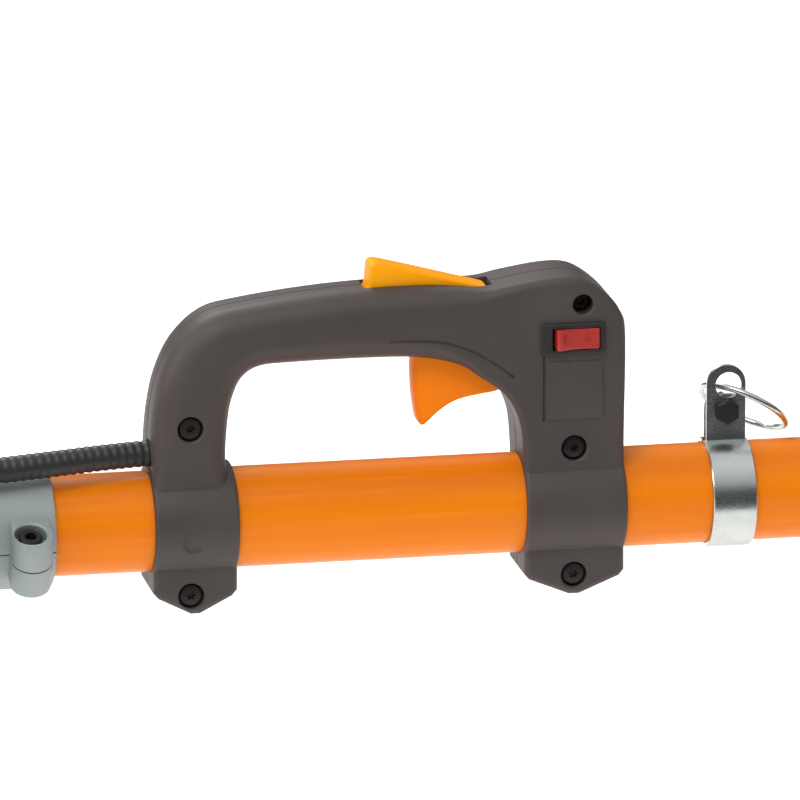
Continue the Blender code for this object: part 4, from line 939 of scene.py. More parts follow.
# --- Controls -----------------------------------------------------------------------------------------------
@dataclass
class ControlSizes:
    """The throttle trigger, its lock-out lever and the stop switch."""

    half: float = 0.0070
    edge: float = 0.0014
    front_edge: float = 0.0042
    trigger: tuple = (
        (0.0060, 0.0715), (0.0046, 0.0660), (0.0046, 0.0590), (0.0050, 0.0520), (0.0058, 0.0457),
        (0.0068, 0.0405), (0.0084, 0.0382), (0.0108, 0.0397), (0.0152, 0.0438), (0.0208, 0.0476),
        (0.0263, 0.0497), (0.0341, 0.0511), (0.0420, 0.0524), (0.0480, 0.0555), (0.0515, 0.0600),
        (0.0515, 0.0645), (0.0480, 0.0675), (0.0300, 0.0715))
    lockout: tuple = (
        (-0.0152, 0.0960), (-0.0150, 0.1020), (-0.0144, 0.1098), (-0.0132, 0.1116), (-0.0105, 0.1119),
        (0.0010, 0.1090), (0.0130, 0.1057), (0.0250, 0.1024), (0.0345, 0.0998), (0.0378, 0.0984),
        (0.0382, 0.0950), (0.0360, 0.0918), (0.0300, 0.0912), (0.0150, 0.0930))
    switch_low: tuple = (0.0605, -0.0183, 0.0723)
    switch_high: tuple = (0.0855, -0.0062, 0.0821)
    rim_low: tuple = (0.0586, -0.0194, 0.0703)
    rim_high: tuple = (0.0872, -0.0182, 0.0841)
    pocket_low: tuple = (0.0636, -0.0300, 0.0723)
    pocket_high: tuple = (0.0850, -0.0080, 0.0821)
    rocker_pivot: tuple = (0.0743, -0.0145, 0.0772)
    rocker_half: float = 0.0046
    rocker_tilt: float = 7.0
    nose_from: float = 0.0100
    nose_span: float = 0.0030
    rim_edge: float = 0.0006
    mark_on: tuple = ((-0.0061, -0.0067, -0.0019), (-0.0053, -0.0050, 0.0019))
    mark_wire: float = 0.00035


class Controls(SubAssembly):
    """Everything the operator's hand works on the handle."""

    sizes: ControlSizes

    def throttle(self) -> None:
        """The trigger and the lock-out lever."""
        b, s = self.bench, self.sizes

        def nosed(p: Vector) -> float:
            """The trigger's edge radius, large along its front."""
            return s.edge + (s.front_edge - s.edge) * max(0.0, min(1.0, (s.nose_from - p.x) / s.nose_span))

        trigger = b.cushion("trigger", flowing(s.trigger, 5, True), -s.half, s.half, nosed)
        b.finish(trigger, "orange_plastic", "throttle_trigger", "throttle_trigger", angle=50)
        lever = b.cushion("lockout_lever", flowing(s.lockout, 5, True), -s.half, s.half, s.edge)
        b.finish(lever, "orange_plastic", "throttle_lockout", "throttle_lockout", angle=50,
                 special="light_orange_moulding")

    def switch(self) -> None:
        """The stop switch's rimmed housing and its tipped rocker with on and off marks."""
        b, s = self.bench, self.sizes
        housing = b.box("switch_housing", s.switch_low, s.switch_high)
        rim = b.bevel(b.box("switch_rim", s.rim_low, s.rim_high), s.rim_edge, 4)
        b.cut(b.fuse(housing, rim), b.box("pocket", s.pocket_low, s.pocket_high))
        b.finish(housing, "black_plastic", "pole", "stop_switch_body")
        x, y, z = s.rocker_pivot
        dish = [(0.0088 * t, -0.0052 - 0.0016 * t * t) for t in (k / 8 for k in range(8, -9, -1))]
        side = [(0.0094, 0.0030), (0.0097, -0.0060), *dish, (-0.0097, -0.0060), (-0.0094, 0.0030)]
        tilt = Matrix.Rotation(math.radians(s.rocker_tilt), 2)
        tipped = [tilt @ Vector(p) for p in side]
        rocker = b.cushion("rocker", [(x + p.x, y + p.y) for p in tipped], z - s.rocker_half,
                           z + s.rocker_half, s.rim_edge, Axis.Z, 4)
        turn = Matrix.Translation((x, y, z)) @ Matrix.Rotation(math.radians(s.rocker_tilt), 4, "Z")
        bar = b.box("mark_on", *s.mark_on)
        loop = [(0.0055 + 0.0016 * math.cos(math.radians(a)), -0.0058, 0.0019 * math.sin(math.radians(a)))
                for a in range(0, 360, 15)]
        ring = b.sweep("mark_off", loop, s.mark_wire, 2, cyclic=True)
        for mark in (bar, ring):
            mark.matrix_world = turn
            b.fuse(rocker, b.settle(mark))
        b.finish(rocker, "red_plastic", "stop_rocker", "stop_switch_rocker", angle=40)

    def build(self) -> None:
        """Makes the trigger, lock-out and switch."""
        self.throttle()
        self.switch()


# --- Pole ---------------------------------------------------------------------------------------------------
@dataclass
class PoleSizes:
    """The outer tube and the corrugated hose along it."""

    rear: float = TUBE_REAR
    front: float = 1.545
    wall: float = 0.0025
    edge: float = 0.0006
    hose_radius: float = 0.0058
    hose_rib: float = 0.0038
    hose_depth: float = 0.00035
    rib_steps: int = 8
    rib_sharpness: float = 1.6
    hose: tuple = (
        (-0.1045, -0.0042, 0.0317), (-0.1150, -0.0047, 0.0316), (-0.1350, -0.0085, 0.0316),
        (-0.1610, -0.0140, 0.0312), (-0.1850, -0.0170, 0.0308), (-0.2080, -0.0200, 0.0345),
        (-0.2350, -0.0260, 0.0480), (-0.2600, -0.0310, 0.0600), (-0.2900, -0.0330, 0.0720),
        (-0.3200, -0.0310, 0.0800), (-0.3475, -0.0280, 0.0820))


class Pole(SubAssembly):
    """The orange tube and the hose of the throttle cable and stop wires."""

    sizes: PoleSizes

    def tube(self) -> None:
        """The glass-fibre tube, its ends lightly broken."""
        s = self.sizes
        bore = TUBE_R - s.wall
        profile = [(bore, s.rear), (TUBE_R - s.edge, s.rear), (TUBE_R, s.rear + s.edge),
                   (TUBE_R, s.front - s.edge), (TUBE_R - s.edge, s.front), (bore, s.front)]
        tube = self.bench.turned("glass_fibre_tube", profile, (0, 0, 0), Axis.X, 128)
        self.bench.finish(tube, "orange_tube", "pole", "outer_tube")

    def hose(self) -> None:
        """The corrugated hose, its ribs evenly spaced along it."""
        s = self.sizes
        smooth = flowing(s.hose, 60)
        per_rib = s.rib_steps
        step = s.hose_rib / per_rib
        route = [smooth[0]]
        for point in smooth:
            gap = point - route[-1]
            while gap.length >= step:
                route.append(route[-1] + gap.normalized() * step)
                gap = point - route[-1]
        low = 1 - s.hose_depth / s.hose_radius
        middle = (1 + low) / 2
        swing = (1 - low) / 2

        def swell(i: int) -> float:
            """Radius of the ribbed hose at a point, as a share of its largest."""
            wave = math.sin(2 * math.pi * i / per_rib)
            return middle + swing * max(-1.0, min(1.0, s.rib_sharpness * wave))

        hose = self.bench.sweep("corrugated_hose", route, s.hose_radius, 6, swell=swell)
        self.bench.finish(hose, "black_plastic", "pole", "cable_conduit", angle=60)

    def build(self) -> None:
        """Makes the tube and the hose."""
        self.tube()
        self.hose()


# --- Harness point ------------------------------------------------------------------------------------------
@dataclass
class HarnessSizes:
    """The clamped band, its ears, bolt and ring."""

    at: float = 0.1446
    half_width: float = 0.0097
    ear_half: float = 0.00875
    sheet: float = 0.0020
    near_top: float = 0.0580
    far_top: float = 0.0435
    bolt_height: float = 0.0375
    ring_hole: tuple = (0.1456, -0.0025, 0.0488)
    hole_radius: float = 0.0058
    thread: tuple = (0.1446, -0.0025, 0.0476)
    ring_radius: float = 0.020
    ring_wire: float = 0.0014
    ring_start: float = -25.0
    ring_steps: int = 128
    ear_root: float = 0.0215
    near_corner: float = 0.0086
    far_corner: float = 0.006
    ear_inside: float = 0.0017
    ear_outside: float = 0.0033
    rim: float = 0.0003
    nut_radius: float = 0.0057
    long_way: tuple = (0.8632, -0.3885, -0.3224)
    short_way: tuple = (-0.1814, -0.8347, 0.5202)


class HarnessPoint(SubAssembly):
    """The zinc band round the tube, with the ring for a shoulder strap."""

    sizes: HarnessSizes

    def ear(self, top: float, corner: float) -> list[tuple]:
        """Outline of one upright ear, rounded at its top corners.

        Args:
            top: the height of its top.
            corner: the radius of its top corners.

        Returns:
            The (x, z) outline.
        """
        s = self.sizes
        left, right = s.at - s.ear_half, s.at + s.ear_half
        return [(left, s.ear_root), (right, s.ear_root),
                *arc((right - corner, top - corner), corner, 0, 90, 10),
                *arc((left + corner, top - corner), corner, 90, 180, 10)]

    def band(self) -> None:
        """The band and its two ears."""
        b, s = self.bench, self.sizes
        outer = BORE_R + s.sheet
        w, e = s.half_width, 0.0004
        profile = [(BORE_R, s.at - w), (outer - e, s.at - w), (outer, s.at - w + e), (outer, s.at + w - e),
                   (outer - e, s.at + w), (BORE_R, s.at + w)]
        band = b.turned("strap_band", profile, (0, 0, 0), Axis.X)
        b.cut(band, b.box("gap", (s.at - 0.02, -s.ear_inside, 0.010), (s.at + 0.02, s.ear_inside, 0.030)))
        near = b.cushion("near_ear", self.ear(s.near_top, s.near_corner), -s.ear_outside, -s.ear_inside,
                         s.rim, steps=3)
        far = b.cushion("far_ear", self.ear(s.far_top, s.far_corner), s.ear_inside, s.ear_outside,
                        s.rim, steps=3)
        b.fuse(band, near, far)
        b.cut(band, b.rod("tube_room", (s.at, 0, 0), Axis.X, BORE_R, 0.04, 128),
              b.rod("bolt_hole", (s.at, 0, s.bolt_height), Axis.NEAR, 0.0033, 0.02),
              b.rod("eye", s.ring_hole, Axis.NEAR, s.hole_radius, 0.0030))
        b.finish(band, "zinc", "pole", "harness_band")

    def bolt(self) -> None:
        """The hexagon bolt and its nut."""
        b, s = self.bench, self.sizes
        head = b.rod("strap_bolt", (s.at, -0.0056, s.bolt_height), Axis.NEAR, s.nut_radius, 0.0040, 6)
        nut = b.rod("nut", (s.at, 0.0060, s.bolt_height), Axis.NEAR, s.nut_radius, 0.0048, 6)
        for piece in (head, nut):
            b.bevel(piece, 0.00035, 3)
        crown = b.rod("crown", (s.at, -0.0076, s.bolt_height), Axis.NEAR, 0.0047, 0.0006, 48, 0.0042)
        b.fuse(head, crown, b.rod("shank", (s.at, 0.0025, s.bolt_height), Axis.NEAR, 0.0030, 0.0160), nut)
        b.finish(head, "black_steel", "pole", "harness_bolt")

    def ring(self) -> None:
        """The round ring threaded through the near ear."""
        s = self.sizes
        long_way = Vector(s.long_way).normalized()
        short_way = Vector(s.short_way)
        short_way = (short_way - long_way * short_way.dot(long_way)).normalized()
        start = math.radians(s.ring_start)
        centre = Vector(s.thread) - s.ring_radius * (math.cos(start) * short_way + math.sin(start) * long_way)
        loop = [centre + s.ring_radius * (math.cos(t) * short_way + math.sin(t) * long_way)
                for t in (2 * math.pi * k / s.ring_steps for k in range(s.ring_steps))]
        ring = self.bench.sweep("strap_ring", loop, s.ring_wire, 5, cyclic=True)
        self.bench.finish(ring, "zinc", "harness_ring", "harness_ring", angle=60)

    def build(self) -> None:
        """Makes the band, bolt and ring."""
        self.band()
        self.bolt()
        self.ring()


# --- Clutch housing -----------------------------------------------------------------------------------------
@dataclass
class CastingSizes:
    """The die-cast clutch housing that clamps the tube's rear end."""

    profile: tuple = (
        (0.0223, -0.1556), (0.0252, -0.1556), (0.0262, -0.1560), (0.0265, -0.1570), (0.0265, -0.2120),
        (0.0275, -0.2190), (0.0300, -0.2300), (0.0340, -0.2390), (0.0400, -0.2490), (0.0440, -0.2560),
        (0.0462, -0.2610), (0.0470, -0.2660), (0.0470, -0.2815), (0.0485, -0.2830), (0.0495, -0.2832),
        (0.0500, -0.2838), (0.0500, -0.2900), (0.0420, -0.2900), (0.0420, -0.2620), (0.0330, -0.2460),
        (0.0120, -0.2420), (0.0120, -0.2323), (0.0223, -0.2323))
    lugs: tuple = (-0.1674, -0.1955)
    lug_radius: float = 0.0090
    lug_centre: tuple = (-0.0302, -0.0062)
    lug_half: float = 0.0145
    lean: float = 23.0
    pocket: float = 0.0070
    pocket_depth: float = 0.0065
    pocket_shift: float = -0.0012
    slit: float = 0.0007
    lug_rim: float = 0.0014
    web_depth: float = 0.0180
    web_edge: float = 0.0016
    seat: tuple = (-0.1950, 0.0740)


class Casting(SubAssembly):
    """The clutch housing with its clamp lugs and screws."""

    sizes: CastingSizes

    def leaned(self, piece: bpy.types.Object, x: float) -> bpy.types.Object:
        """Stands a piece, made about the origin with Z upwards, at a lug and leans it with the lug.

        Args:
            piece: the piece.
            x: the lug's place along the pole.

        Returns:
            The same piece.
        """
        y, z = self.sizes.lug_centre
        piece.matrix_world = (Matrix.Translation((x, y, z))
                              @ Matrix.Rotation(math.radians(self.sizes.lean), 4, "X") @ piece.matrix_world)
        return self.bench.settle(piece)

    def build(self) -> None:
        """Makes the casting and its two clamp screws."""
        b, s = self.bench, self.sizes
        body = b.turned("clutch_casting", s.profile, (0, 0, 0), Axis.X)
        h, r = s.lug_half, s.lug_radius
        floor = h - s.pocket_depth
        for x in s.lugs:
            rim = s.lug_rim
            profile = [(0, -h), (r - rim, -h), (r - rim * 0.3, -h + rim * 0.3), (r, -h + rim), (r, h - rim),
                       (r - rim * 0.3, h - rim * 0.3), (r - rim, h), (0, h)]
            web = b.box("web", (-r, -0.0005, 0.0010 - h), (r, s.web_depth, h - 0.0010))
            b.bevel(web, s.web_edge, 3)
            b.fuse(body, self.leaned(web, x), self.leaned(b.turned("lug", profile, (0, 0, 0), Axis.Z, 64), x))
        for x in s.lugs:
            tool = [(0, floor), (s.pocket, floor), (s.pocket, h - 0.0008), (s.pocket + 0.0010, h + 0.0002),
                    (s.pocket + 0.0010, h + 0.0120), (0, h + 0.0120)]
            b.cut(body, self.leaned(b.turned("pocket", tool, (s.pocket_shift, 0, 0), Axis.Z, 64), x),
                  self.leaned(b.box("slit", (-2 * r, -2 * r, -s.slit), (2 * r, 0.0120, 0)), x))
        b.cut(body, b.rod("tube_room", (s.seat[0], 0, 0), Axis.X, BORE_R, s.seat[1], 128))
        b.finish(body, "cast_alloy", "pole", "clutch_housing", angle=28)
        for i, x in enumerate(s.lugs):
            head = [(0, floor), (0.0052, floor), (0.0052, floor + 0.0042), (0.0044, floor + 0.0050),
                    (0.0026, floor + 0.0050), (0.0023, floor + 0.0020), (0, floor + 0.0020)]
            screw = b.turned(f"clamp_screw_{i + 1}", head, (s.pocket_shift, 0, 0), Axis.Z, 48)
            b.finish(self.leaned(screw, x), "black_steel", "pole", f"tube_clamp_screw_{i + 1}")


# --- Saw chain ----------------------------------------------------------------------------------------------
@dataclass
class ChainSizes:
    """The saw chain's path round the bar and its links."""

    sprocket: tuple = (1.760, -0.030, 0.0)
    drop: float = 15.25
    upper: tuple = ((0.3045, 0.0220), (0.2900, 0.0235), (0.2400, 0.0256), (0.1886, 0.0278), (0.1600, 0.0280),
                    (0.1315, 0.0261), (0.0900, 0.0219), (0.0500, 0.0179))
    nose: tuple = (0.3045, 0.0)
    nose_radius: float = 0.0215
    wheel_radius: float = 0.0204
    lift: float = 0.0040
    pitch: float = 0.0093
    strap: float = 0.0029
    drive_half: float = 0.00065
    plate: float = 0.0011
    bar_gap: float = 0.00085
    group: int = 4
    tooth: float = 0.0060
    top_reach: float = 0.0006
    rivet: float = 0.0014
    rivet_proud: float = 0.0002


class SawChain(SubAssembly):
    """A chain of drive links, tie straps and cutters, riveted link by link."""

    sizes: ChainSizes

    def __init__(self, bench: Bench, sizes: ChainSizes) -> None:
        """Keeps the bench and sizes and starts an empty mesh.

        Args:
            bench: the modelling steps.
            sizes: the chain's sizes.
        """
        super().__init__(bench, sizes)
        self.corners: list[tuple] = []
        self.faces: list[tuple] = []

    def path(self) -> list[Vector]:
        """The rivets' closed path in the bar's own plane: back along the top, round and out below.

        Returns:
            The path's points.
        """
        s = self.sizes
        top = [(x, z + s.lift) for x, z in s.upper]
        wheel = arc((0, 0), s.wheel_radius, 110, 250, 10)
        nose = arc(s.nose, s.nose_radius + s.lift, -80, 80, 12)
        return [*[p.xy for p in flowing(top, 6)], *[Vector(p) for p in wheel],
                *[Vector((p.x, -p.y)) for p in reversed(flowing(top, 6))], *[Vector(p) for p in nose]]

    def rivets(self) -> list[Vector]:
        """Rivet centres, evenly spaced along the path, a whole number of four-link groups.

        Returns:
            The centres.
        """
        path = self.path()
        spans = [(b - a).length for a, b in zip(path, [*path[1:], path[0]])]
        group = self.sizes.group
        count = group * round(sum(spans) / self.sizes.pitch / group)
        step = sum(spans) / count
        points, carry = [], 0.0
        for a, b, span in zip(path, [*path[1:], path[0]], spans):
            while carry < span and len(points) < count:
                points.append(a.lerp(b, carry / span))
                carry += step
            carry -= span
        return points

    def slab(self, start: Vector, ahead: Vector, outline: Sequence[Point], low: float, high: float) -> None:
        """Adds one plate, its outline given along a link and outwards from it.

        Args:
            start: the link's first rivet.
            ahead: the direction of the link.
            outline: its (along, outwards) points.
            low: its lower height across the bar.
            high: its upper height.
        """
        s = self.sizes
        out = Vector((ahead.y, -ahead.x))
        drop = math.radians(s.drop)
        first = len(self.corners)
        count = len(outline)
        for y in (low, high):
            for along, off in outline:
                p = start + ahead * along + out * off
                self.corners.append((s.sprocket[0] + p.x * math.cos(drop) + p.y * math.sin(drop),
                                     s.sprocket[1] + y,
                                     s.sprocket[2] - p.x * math.sin(drop) + p.y * math.cos(drop)))
        self.faces.append(tuple(range(first, first + count)))
        self.faces.append(tuple(range(first + 2 * count - 1, first + count - 1, -1)))
        for i in range(count):
            j = (i + 1) % count
            self.faces.append((first + j, first + i, first + count + i, first + count + j))

    def links(self) -> None:
        """Lays every link between its two rivets."""
        s = self.sizes
        points = self.rivets()
        for k, (a, b) in enumerate(zip(points, [*points[1:], points[0]])):
            ahead = (b - a).normalized()
            length = (b - a).length
            r = s.strap
            ends = [*arc((0, 0), r, 90, 270, 6), *arc((length, 0), r, -90, 90, 6)]
            inner, outer = s.bar_gap, s.bar_gap + s.plate
            if k % 2:
                for side in (-1, 1):
                    low, high = sorted((side * inner, side * outer))
                    cutter = k % s.group == 1 and side == (1 if k % (2 * s.group) == 1 else -1)
                    self.slab(a, ahead, self.cutter(length) if cutter else ends, low, high)
                    if cutter:
                        top = [(0.50 * length, 0.0052), (1.25 * length, 0.0047), (1.25 * length, 0.0056),
                               (0.42 * length, 0.0062)]
                        low, high = sorted((side * outer, -side * s.top_reach))
                        self.slab(a, ahead, top, low, high)
            else:
                tang = [*arc((0, 0), r, 90, 225, 5), (0.30 * length, -r), (0.36 * length, -s.tooth),
                        (0.62 * length, -s.tooth), (0.80 * length, -r), *arc((length, 0), r, -45, 90, 5)]
                self.slab(a, ahead, tang, -s.drive_half, s.drive_half)
            head = arc((0, 0), s.rivet, 0, 330, 11)
            self.slab(a, ahead, head, -outer - s.rivet_proud, outer + s.rivet_proud)

    def cutter(self, length: float) -> list[tuple]:
        """Outline of a cutter's side plate, its depth gauge in front.

        Args:
            length: the distance between the link's rivets.

        Returns:
            The (along, outwards) outline.
        """
        r = self.sizes.strap
        upper = ((1.28, 0.0010), (1.28, 0.0052), (0.46, 0.0062), (0.44, 0.0040), (0.34, 0.0022),
                 (0.22, 0.0022), (0.16, 0.0054), (0.02, 0.0056), (-0.26, 0.0030))
        return [*arc((0, 0), r, 200, 270, 3), *arc((length, 0), r, -90, 0, 4),
                *[(share * length, off) for share, off in upper]]

    def build(self) -> None:
        """Makes the chain as one piece."""
        self.links()
        mesh = bpy.data.meshes.new("chain_links")
        mesh.from_pydata(self.corners, [], self.faces)
        chain = linked("chain_links", mesh)
        self.bench.outwards(chain)
        self.bench.finish(chain, "steel", "saw_boom", "saw_chain", angle=25)


# --- Pieces carried over from the CAD -----------------------------------------------------------------------
@dataclass(frozen=True)
class Carried:
    """One CAD node that keeps its shape: its edge rounding and how flat its facets may be merged."""

    node: str
    bevel: float = 0.0004
    merge: float = 1.0
    angle: float = 33.0
    special: str = ""


CARRIED = (
    Carried("air_filter_cover", 0.0012), Carried("bar_nut_1", 0.0003), Carried("bar_nut_2", 0.0003),
    Carried("carburettor", 0.0005), Carried("choke_lever", 0.0005), Carried("clutch_drum", 0),
    Carried("clutch_shoes", 0.0003), Carried("collar_bolt", 0.0003), Carried("collar_lever", 0.0005),
    Carried("crankcase", 0.0008), Carried("crankshaft", 0.0002), Carried("drive_sprocket", 0.0003),
    Carried("engine_cover", 0.0012), Carried("engine_cylinder", 0.0003), Carried("fan_housing", 0.0006),
    Carried("filter_base", 0.0006), Carried("flywheel", 0.0003), Carried("foam_grip", 0.0010),
    Carried("fuel_cap", 0.0005), Carried("fuel_tank", 0.0010),
    Carried("guide_bar", 0.0003, special="ground_steel"), Carried("inner_drive_shaft", 0.0003),
    Carried("inner_tube", 0.0004), Carried("inner_tube_bearing", 0.0003),
    Carried("muffler", 0.0008, special="sooted_steel"), Carried("muffler_guard", 0.0006),
    Carried("oil_cap", 0.0005), Carried("oil_tank", 0.0010), Carried("outer_drive_shaft", 0.0003),
    Carried("outer_tube_bearing", 0.0003), Carried("output_shaft", 0.0003), Carried("piston", 0.0003),
    Carried("primer_bulb", 0.0003), Carried("saw_gearcase", 0.0008), Carried("spark_plug", 0.0003),
    Carried("sprocket_cover", 0.0010), Carried("starter_grip", 0.0008), Carried("starter_housing", 0.0008),
    Carried("telescope_collar", 0.0008), Carried("trigger_spring", 0))


class CarriedOver:
    """Softens the edges of the CAD nodes that keep their shape and gives them their finishes."""

    def __init__(self, bench: Bench, parts: Sequence[Carried]) -> None:
        """Keeps the bench and the list of nodes."""
        self.bench = bench
        self.parts = parts

    def soften(self, part: Carried) -> None:
        """Makes one node's softened copy.

        Args:
            part: the node and how it is softened.
        """
        node = frame["nodes"][part.node]
        body = next(name for name, empty in frame["bodies"].items() if node.parent == empty)
        slot = node.data.materials[0].name
        mesh = node.data.copy()
        mesh.name = f"{part.node}_soft"
        piece = linked(f"{part.node}_soft", mesh)
        mesh.transform(Matrix.Translation(-ORIGIN))
        self.bench.alone(piece)
        bpy.ops.object.mode_set(mode="EDIT")
        bpy.ops.mesh.select_all(action="SELECT")
        bpy.ops.mesh.remove_doubles(threshold=MERGE)
        bpy.ops.mesh.dissolve_limited(angle_limit=math.radians(part.merge))
        bpy.ops.object.mode_set(mode="OBJECT")
        if part.bevel:
            self.bench.bevel(piece, part.bevel, 3, part.angle)
        mouldings = getattr(self, part.node, None)
        if mouldings:
            for moulding in mouldings():
                self.bench.fuse(piece, moulding)
        self.bench.finish(piece, slot, body, part.node, angle=part.angle, special=part.special)

    def ribs(self, low: Point, high: Point, step: Point, count: int,
             edge: float = 0.0006) -> list[bpy.types.Object]:
        """A row of equal raised ribs, the first between two corners.

        Args:
            low: the first rib's lowest corner.
            high: its highest corner.
            step: from one rib to the next.
            count: how many there are.
            edge: their edge rounding.

        Returns:
            The ribs.
        """
        made = []
        for k in range(count):
            shift = Vector(step) * k
            made.append(self.bench.bevel(self.bench.box("rib", Vector(low) + shift, Vector(high) + shift),
                                         edge, 3))
        return made

    def spokes(self, low: Point, high: Point, count: int,
               edge: float = 0.0006) -> list[bpy.types.Object]:
        """Equal ribs round the pole's axis, the first between two corners.

        Args:
            low: the first rib's lowest corner.
            high: its highest corner.
            count: how many there are.
            edge: their edge rounding.

        Returns:
            The ribs.
        """
        made = []
        for k in range(count):
            rib = self.bench.bevel(self.bench.box("rib", low, high), edge, 3)
            rib.rotation_euler = (2 * math.pi * k / count, 0, 0)
            made.append(self.bench.settle(rib))
        return made

    def air_filter_cover(self) -> list[bpy.types.Object]:
        """Raised ribs across the face and a thumb screw.

        Returns:
            The ribs and the screw.
        """
        knob = self.bench.rod("knob", (-0.3870, -0.0990, 0.0905), Axis.NEAR, 0.0062, 0.0060, 12, 0.0056)
        return [*self.ribs((-0.4090, -0.0990, 0.0500), (-0.4065, -0.0960, 0.0800), (0.0088, 0, 0), 6),
                self.bench.bevel(knob, 0.0006, 3)]

    def engine_cover(self) -> list[bpy.types.Object]:
        """Raised ribs on both sides, above the ports.

        Returns:
            The ribs.
        """
        return [rib for side in (-1, 1) for rib in self.ribs(
            (-0.4120, side * 0.0410 - 0.0012, 0.1000), (-0.4095, side * 0.0410 + 0.0012, 0.1170),
            (0.0090, 0, 0), 5)]

    def crankcase(self) -> list[bpy.types.Object]:
        """Cooling ribs on both sides.

        Returns:
            The ribs.
        """
        return [rib for side in (-1, 1) for rib in self.ribs(
            (-0.4200, side * 0.0330 - 0.0022, -0.0520), (-0.3520, side * 0.0330 + 0.0022, -0.0498),
            (0, 0, 0.0090), 6)]

    def fan_housing(self) -> list[bpy.types.Object]:
        """Lengthwise ribs round the fan."""
        return self.spokes((-0.3420, -0.0016, 0.0620), (-0.3000, 0.0016, 0.0642), 16)

    def starter_housing(self) -> list[bpy.types.Object]:
        """Ribs round the rim and a raised hub.

        Returns:
            The ribs and the hub.
        """
        hub = self.bench.rod("hub", (-0.4655, 0, 0), Axis.X, 0.0125, 0.0030, 64)
        return [*self.spokes((-0.4480, -0.0014, 0.0550), (-0.4270, 0.0014, 0.0571), 20),
                self.bench.bevel(hub, 0.0008, 3)]

    def telescope_collar(self) -> list[bpy.types.Object]:
        """Grip ribs round the collar's rear end.

        Returns:
            The ribs.
        """
        low, high = (Vector(c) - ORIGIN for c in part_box("telescope_collar"))
        return self.spokes((low.x + 0.0040, -0.0010, high.y - 0.0012),
                           (low.x + 0.0200, 0.0010, high.y + 0.0006), 24, 0.0003)

    def foam_grip(self) -> list[bpy.types.Object]:
        """A moulded bead near each end of the grip.

        Returns:
            The beads.
        """
        low, high = (Vector(c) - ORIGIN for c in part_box("foam_grip"))
        beads = []
        for x in (low.x + 0.010, high.x - 0.010):
            loop = [(x, high.y * math.cos(a), high.y * math.sin(a)) for a in
                    (2 * math.pi * k / 96 for k in range(96))]
            beads.append(self.bench.sweep("bead", loop, 0.0022, 5, cyclic=True))
        return beads

    def build(self) -> None:
        """Softens every node on the list."""
        for part in self.parts:
            self.soften(part)


# --- Room ---------------------------------------------------------------------------------------------------
@dataclass
class RoomSizes:
    """The studio: floor, lights and camera."""

    target: tuple = (0.0, 0.0, 0.0486)
    back: tuple = (-0.1843, -0.9482, 0.2588)
    distance: float = 4.831
    lens: float = 500.0
    floor: float = 60.0
    sky: float = 0.8
    flag_near: float = -0.24
    flag_far: float = -1.6
    flag_top: float = 0.40
    flag_half: float = 3.0
    flag_lift: float = 0.001
    glow: float = 0.36
    light_shape: float = 0.6
    lights: tuple = (("key", (-1.0, -1.4, 2.3), 1.4, 30), ("left", (-2.2, -0.2, 0.9), 1.0, 16),
                     ("rim", (-0.5, 1.6, 1.6), 1.2, 22))
    sky_stops: tuple = ((0.0, 0.05), (0.28, 0.10), (0.45, 0.62), (1.0, 1.1))


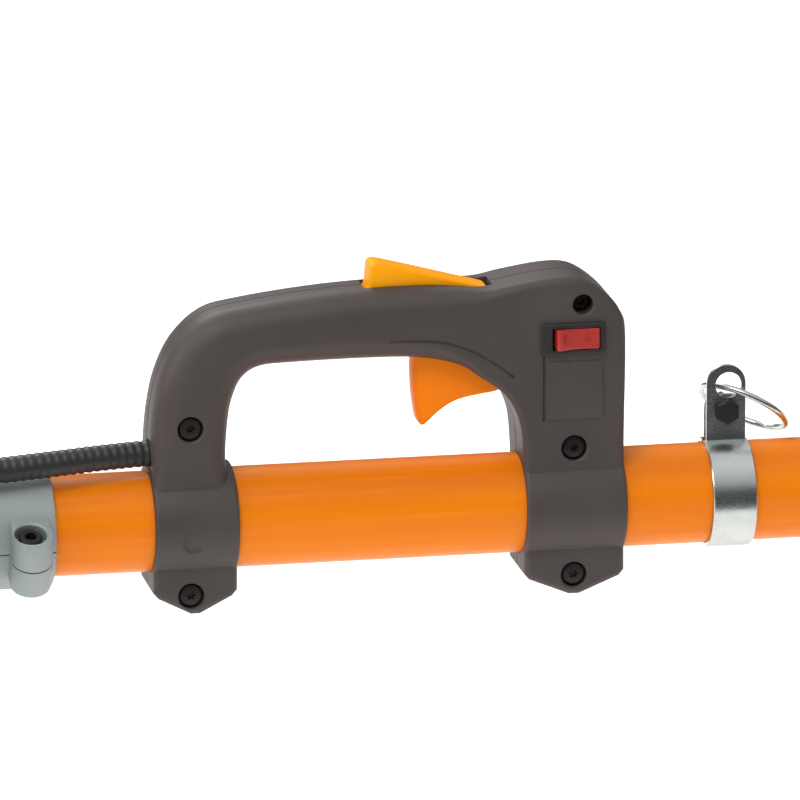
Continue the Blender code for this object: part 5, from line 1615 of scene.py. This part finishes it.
class Room:
    """A white studio with large soft lights."""

    def __init__(self, sizes: RoomSizes) -> None:
        """Keeps the sizes."""
        self.sizes = sizes

    def floor(self) -> None:
        """A plain pale floor."""
        bpy.ops.object.select_all(action="DESELECT")
        bpy.ops.mesh.primitive_plane_add(size=self.sizes.floor, location=(0, 0, -0.0005))
        floor = bpy.context.object
        floor.name = "floor"
        paint = Paint("studio_floor")
        cloud = paint.noise(0.4, 2)
        paint.feed("Base Color", paint.mix(cloud * 0.3, (0.93, 0.93, 0.93), (0.90, 0.90, 0.90)))
        paint.feed("Roughness", 0.85)
        paint.feed("Emission Color", (1.0, 1.0, 1.0))
        paint.feed("Emission Strength", self.sizes.glow)
        floor.data.materials.append(paint.material)

    def light(self, name: str, place: Point, size: float, power: float, aim: Point = (0, 0, 0.05)) -> None:
        """One soft area light aimed at a point in pole coordinates.

        Args:
            name: the light's name.
            place: where it hangs, in pole coordinates.
            size: its width.
            power: its power in watts.
            aim: the point that it faces.
        """
        data = bpy.data.lights.new(name, "AREA")
        data.shape = "RECTANGLE"
        data.size = size
        data.size_y = size * self.sizes.light_shape
        data.energy = power
        lamp = linked(name, data)
        lamp.location = ORIGIN + Vector(place)
        lamp.rotation_euler = (Vector(aim) - Vector(place)).to_track_quat("-Z", "Y").to_euler()

    def world(self) -> None:
        """An even white surround."""
        world = bpy.data.worlds.new("studio")
        world.use_nodes = True
        tree = world.node_tree
        seen = tree.nodes.new("ShaderNodeTexCoord")
        parts = tree.nodes.new("ShaderNodeSeparateXYZ")
        ramp = tree.nodes.new("ShaderNodeValToRGB")
        Paint.set_stops(ramp, self.sizes.sky_stops)
        tree.links.new(seen.outputs["Generated"], parts.inputs[0])
        tree.links.new(parts.outputs["Z"], ramp.inputs[0])
        tree.links.new(ramp.outputs[0], tree.nodes["Background"].inputs["Color"])
        tree.nodes["Background"].inputs["Strength"].default_value = self.sizes.sky
        bpy.context.scene.world = world
        bpy.context.scene.view_settings.view_transform = "Standard"

    def flag(self) -> None:
        """A dark card in front of the pole that only reflections show, on the floor and upright beyond."""
        s = self.sizes
        mesh = bpy.data.meshes.new("flag")
        near, far, top = s.flag_near, s.flag_far, s.flag_top
        half, low = s.flag_half, s.flag_lift
        mesh.from_pydata([(-half, near, low), (half, near, low), (half, far, low), (-half, far, low),
                          (half, far, top), (-half, far, top)], [], [(0, 1, 2, 3), (3, 2, 4, 5)])
        flag = linked("flag", mesh)
        paint = Paint("flag_cloth")
        weave = paint.noise(40, 2)
        paint.feed("Base Color", paint.mix(weave * 0.3, (0.02, 0.02, 0.02), (0.03, 0.03, 0.03)))
        paint.feed("Roughness", 1.0)
        mesh.materials.append(paint.material)
        for kind in ("camera", "diffuse", "shadow", "transmission", "volume_scatter"):
            setattr(flag, f"visible_{kind}", False)

    def camera(self) -> None:
        """The camera, far off with a long lens."""
        s = self.sizes
        data = bpy.data.cameras.new("camera")
        data.lens = s.lens
        data.clip_end = 100
        camera = linked("camera", data)
        back = Vector(s.back).normalized()
        camera.location = ORIGIN + Vector(s.target) + back * s.distance
        camera.rotation_euler = (-back).to_track_quat("-Z", "Y").to_euler()
        bpy.context.scene.camera = camera

    def build(self) -> None:
        """Makes the room."""
        self.floor()
        self.flag()
        self.world()
        for name, place, size, power in self.sizes.lights:
            self.light(name, place, size, power)
        self.camera()


def main() -> None:
    """Builds every sub-assembly, then the room."""
    logging.basicConfig(level=logging.INFO, format="%(message)s")
    bench = Bench(Palette())
    Pole(bench, PoleSizes()).build()
    Handle(bench, HandleSizes()).build()
    Controls(bench, ControlSizes()).build()
    HarnessPoint(bench, HarnessSizes()).build()
    Casting(bench, CastingSizes()).build()
    SawChain(bench, ChainSizes()).build()
    CarriedOver(bench, CARRIED).build()
    Room(RoomSizes()).build()


if __name__ == "__main__":
    main()
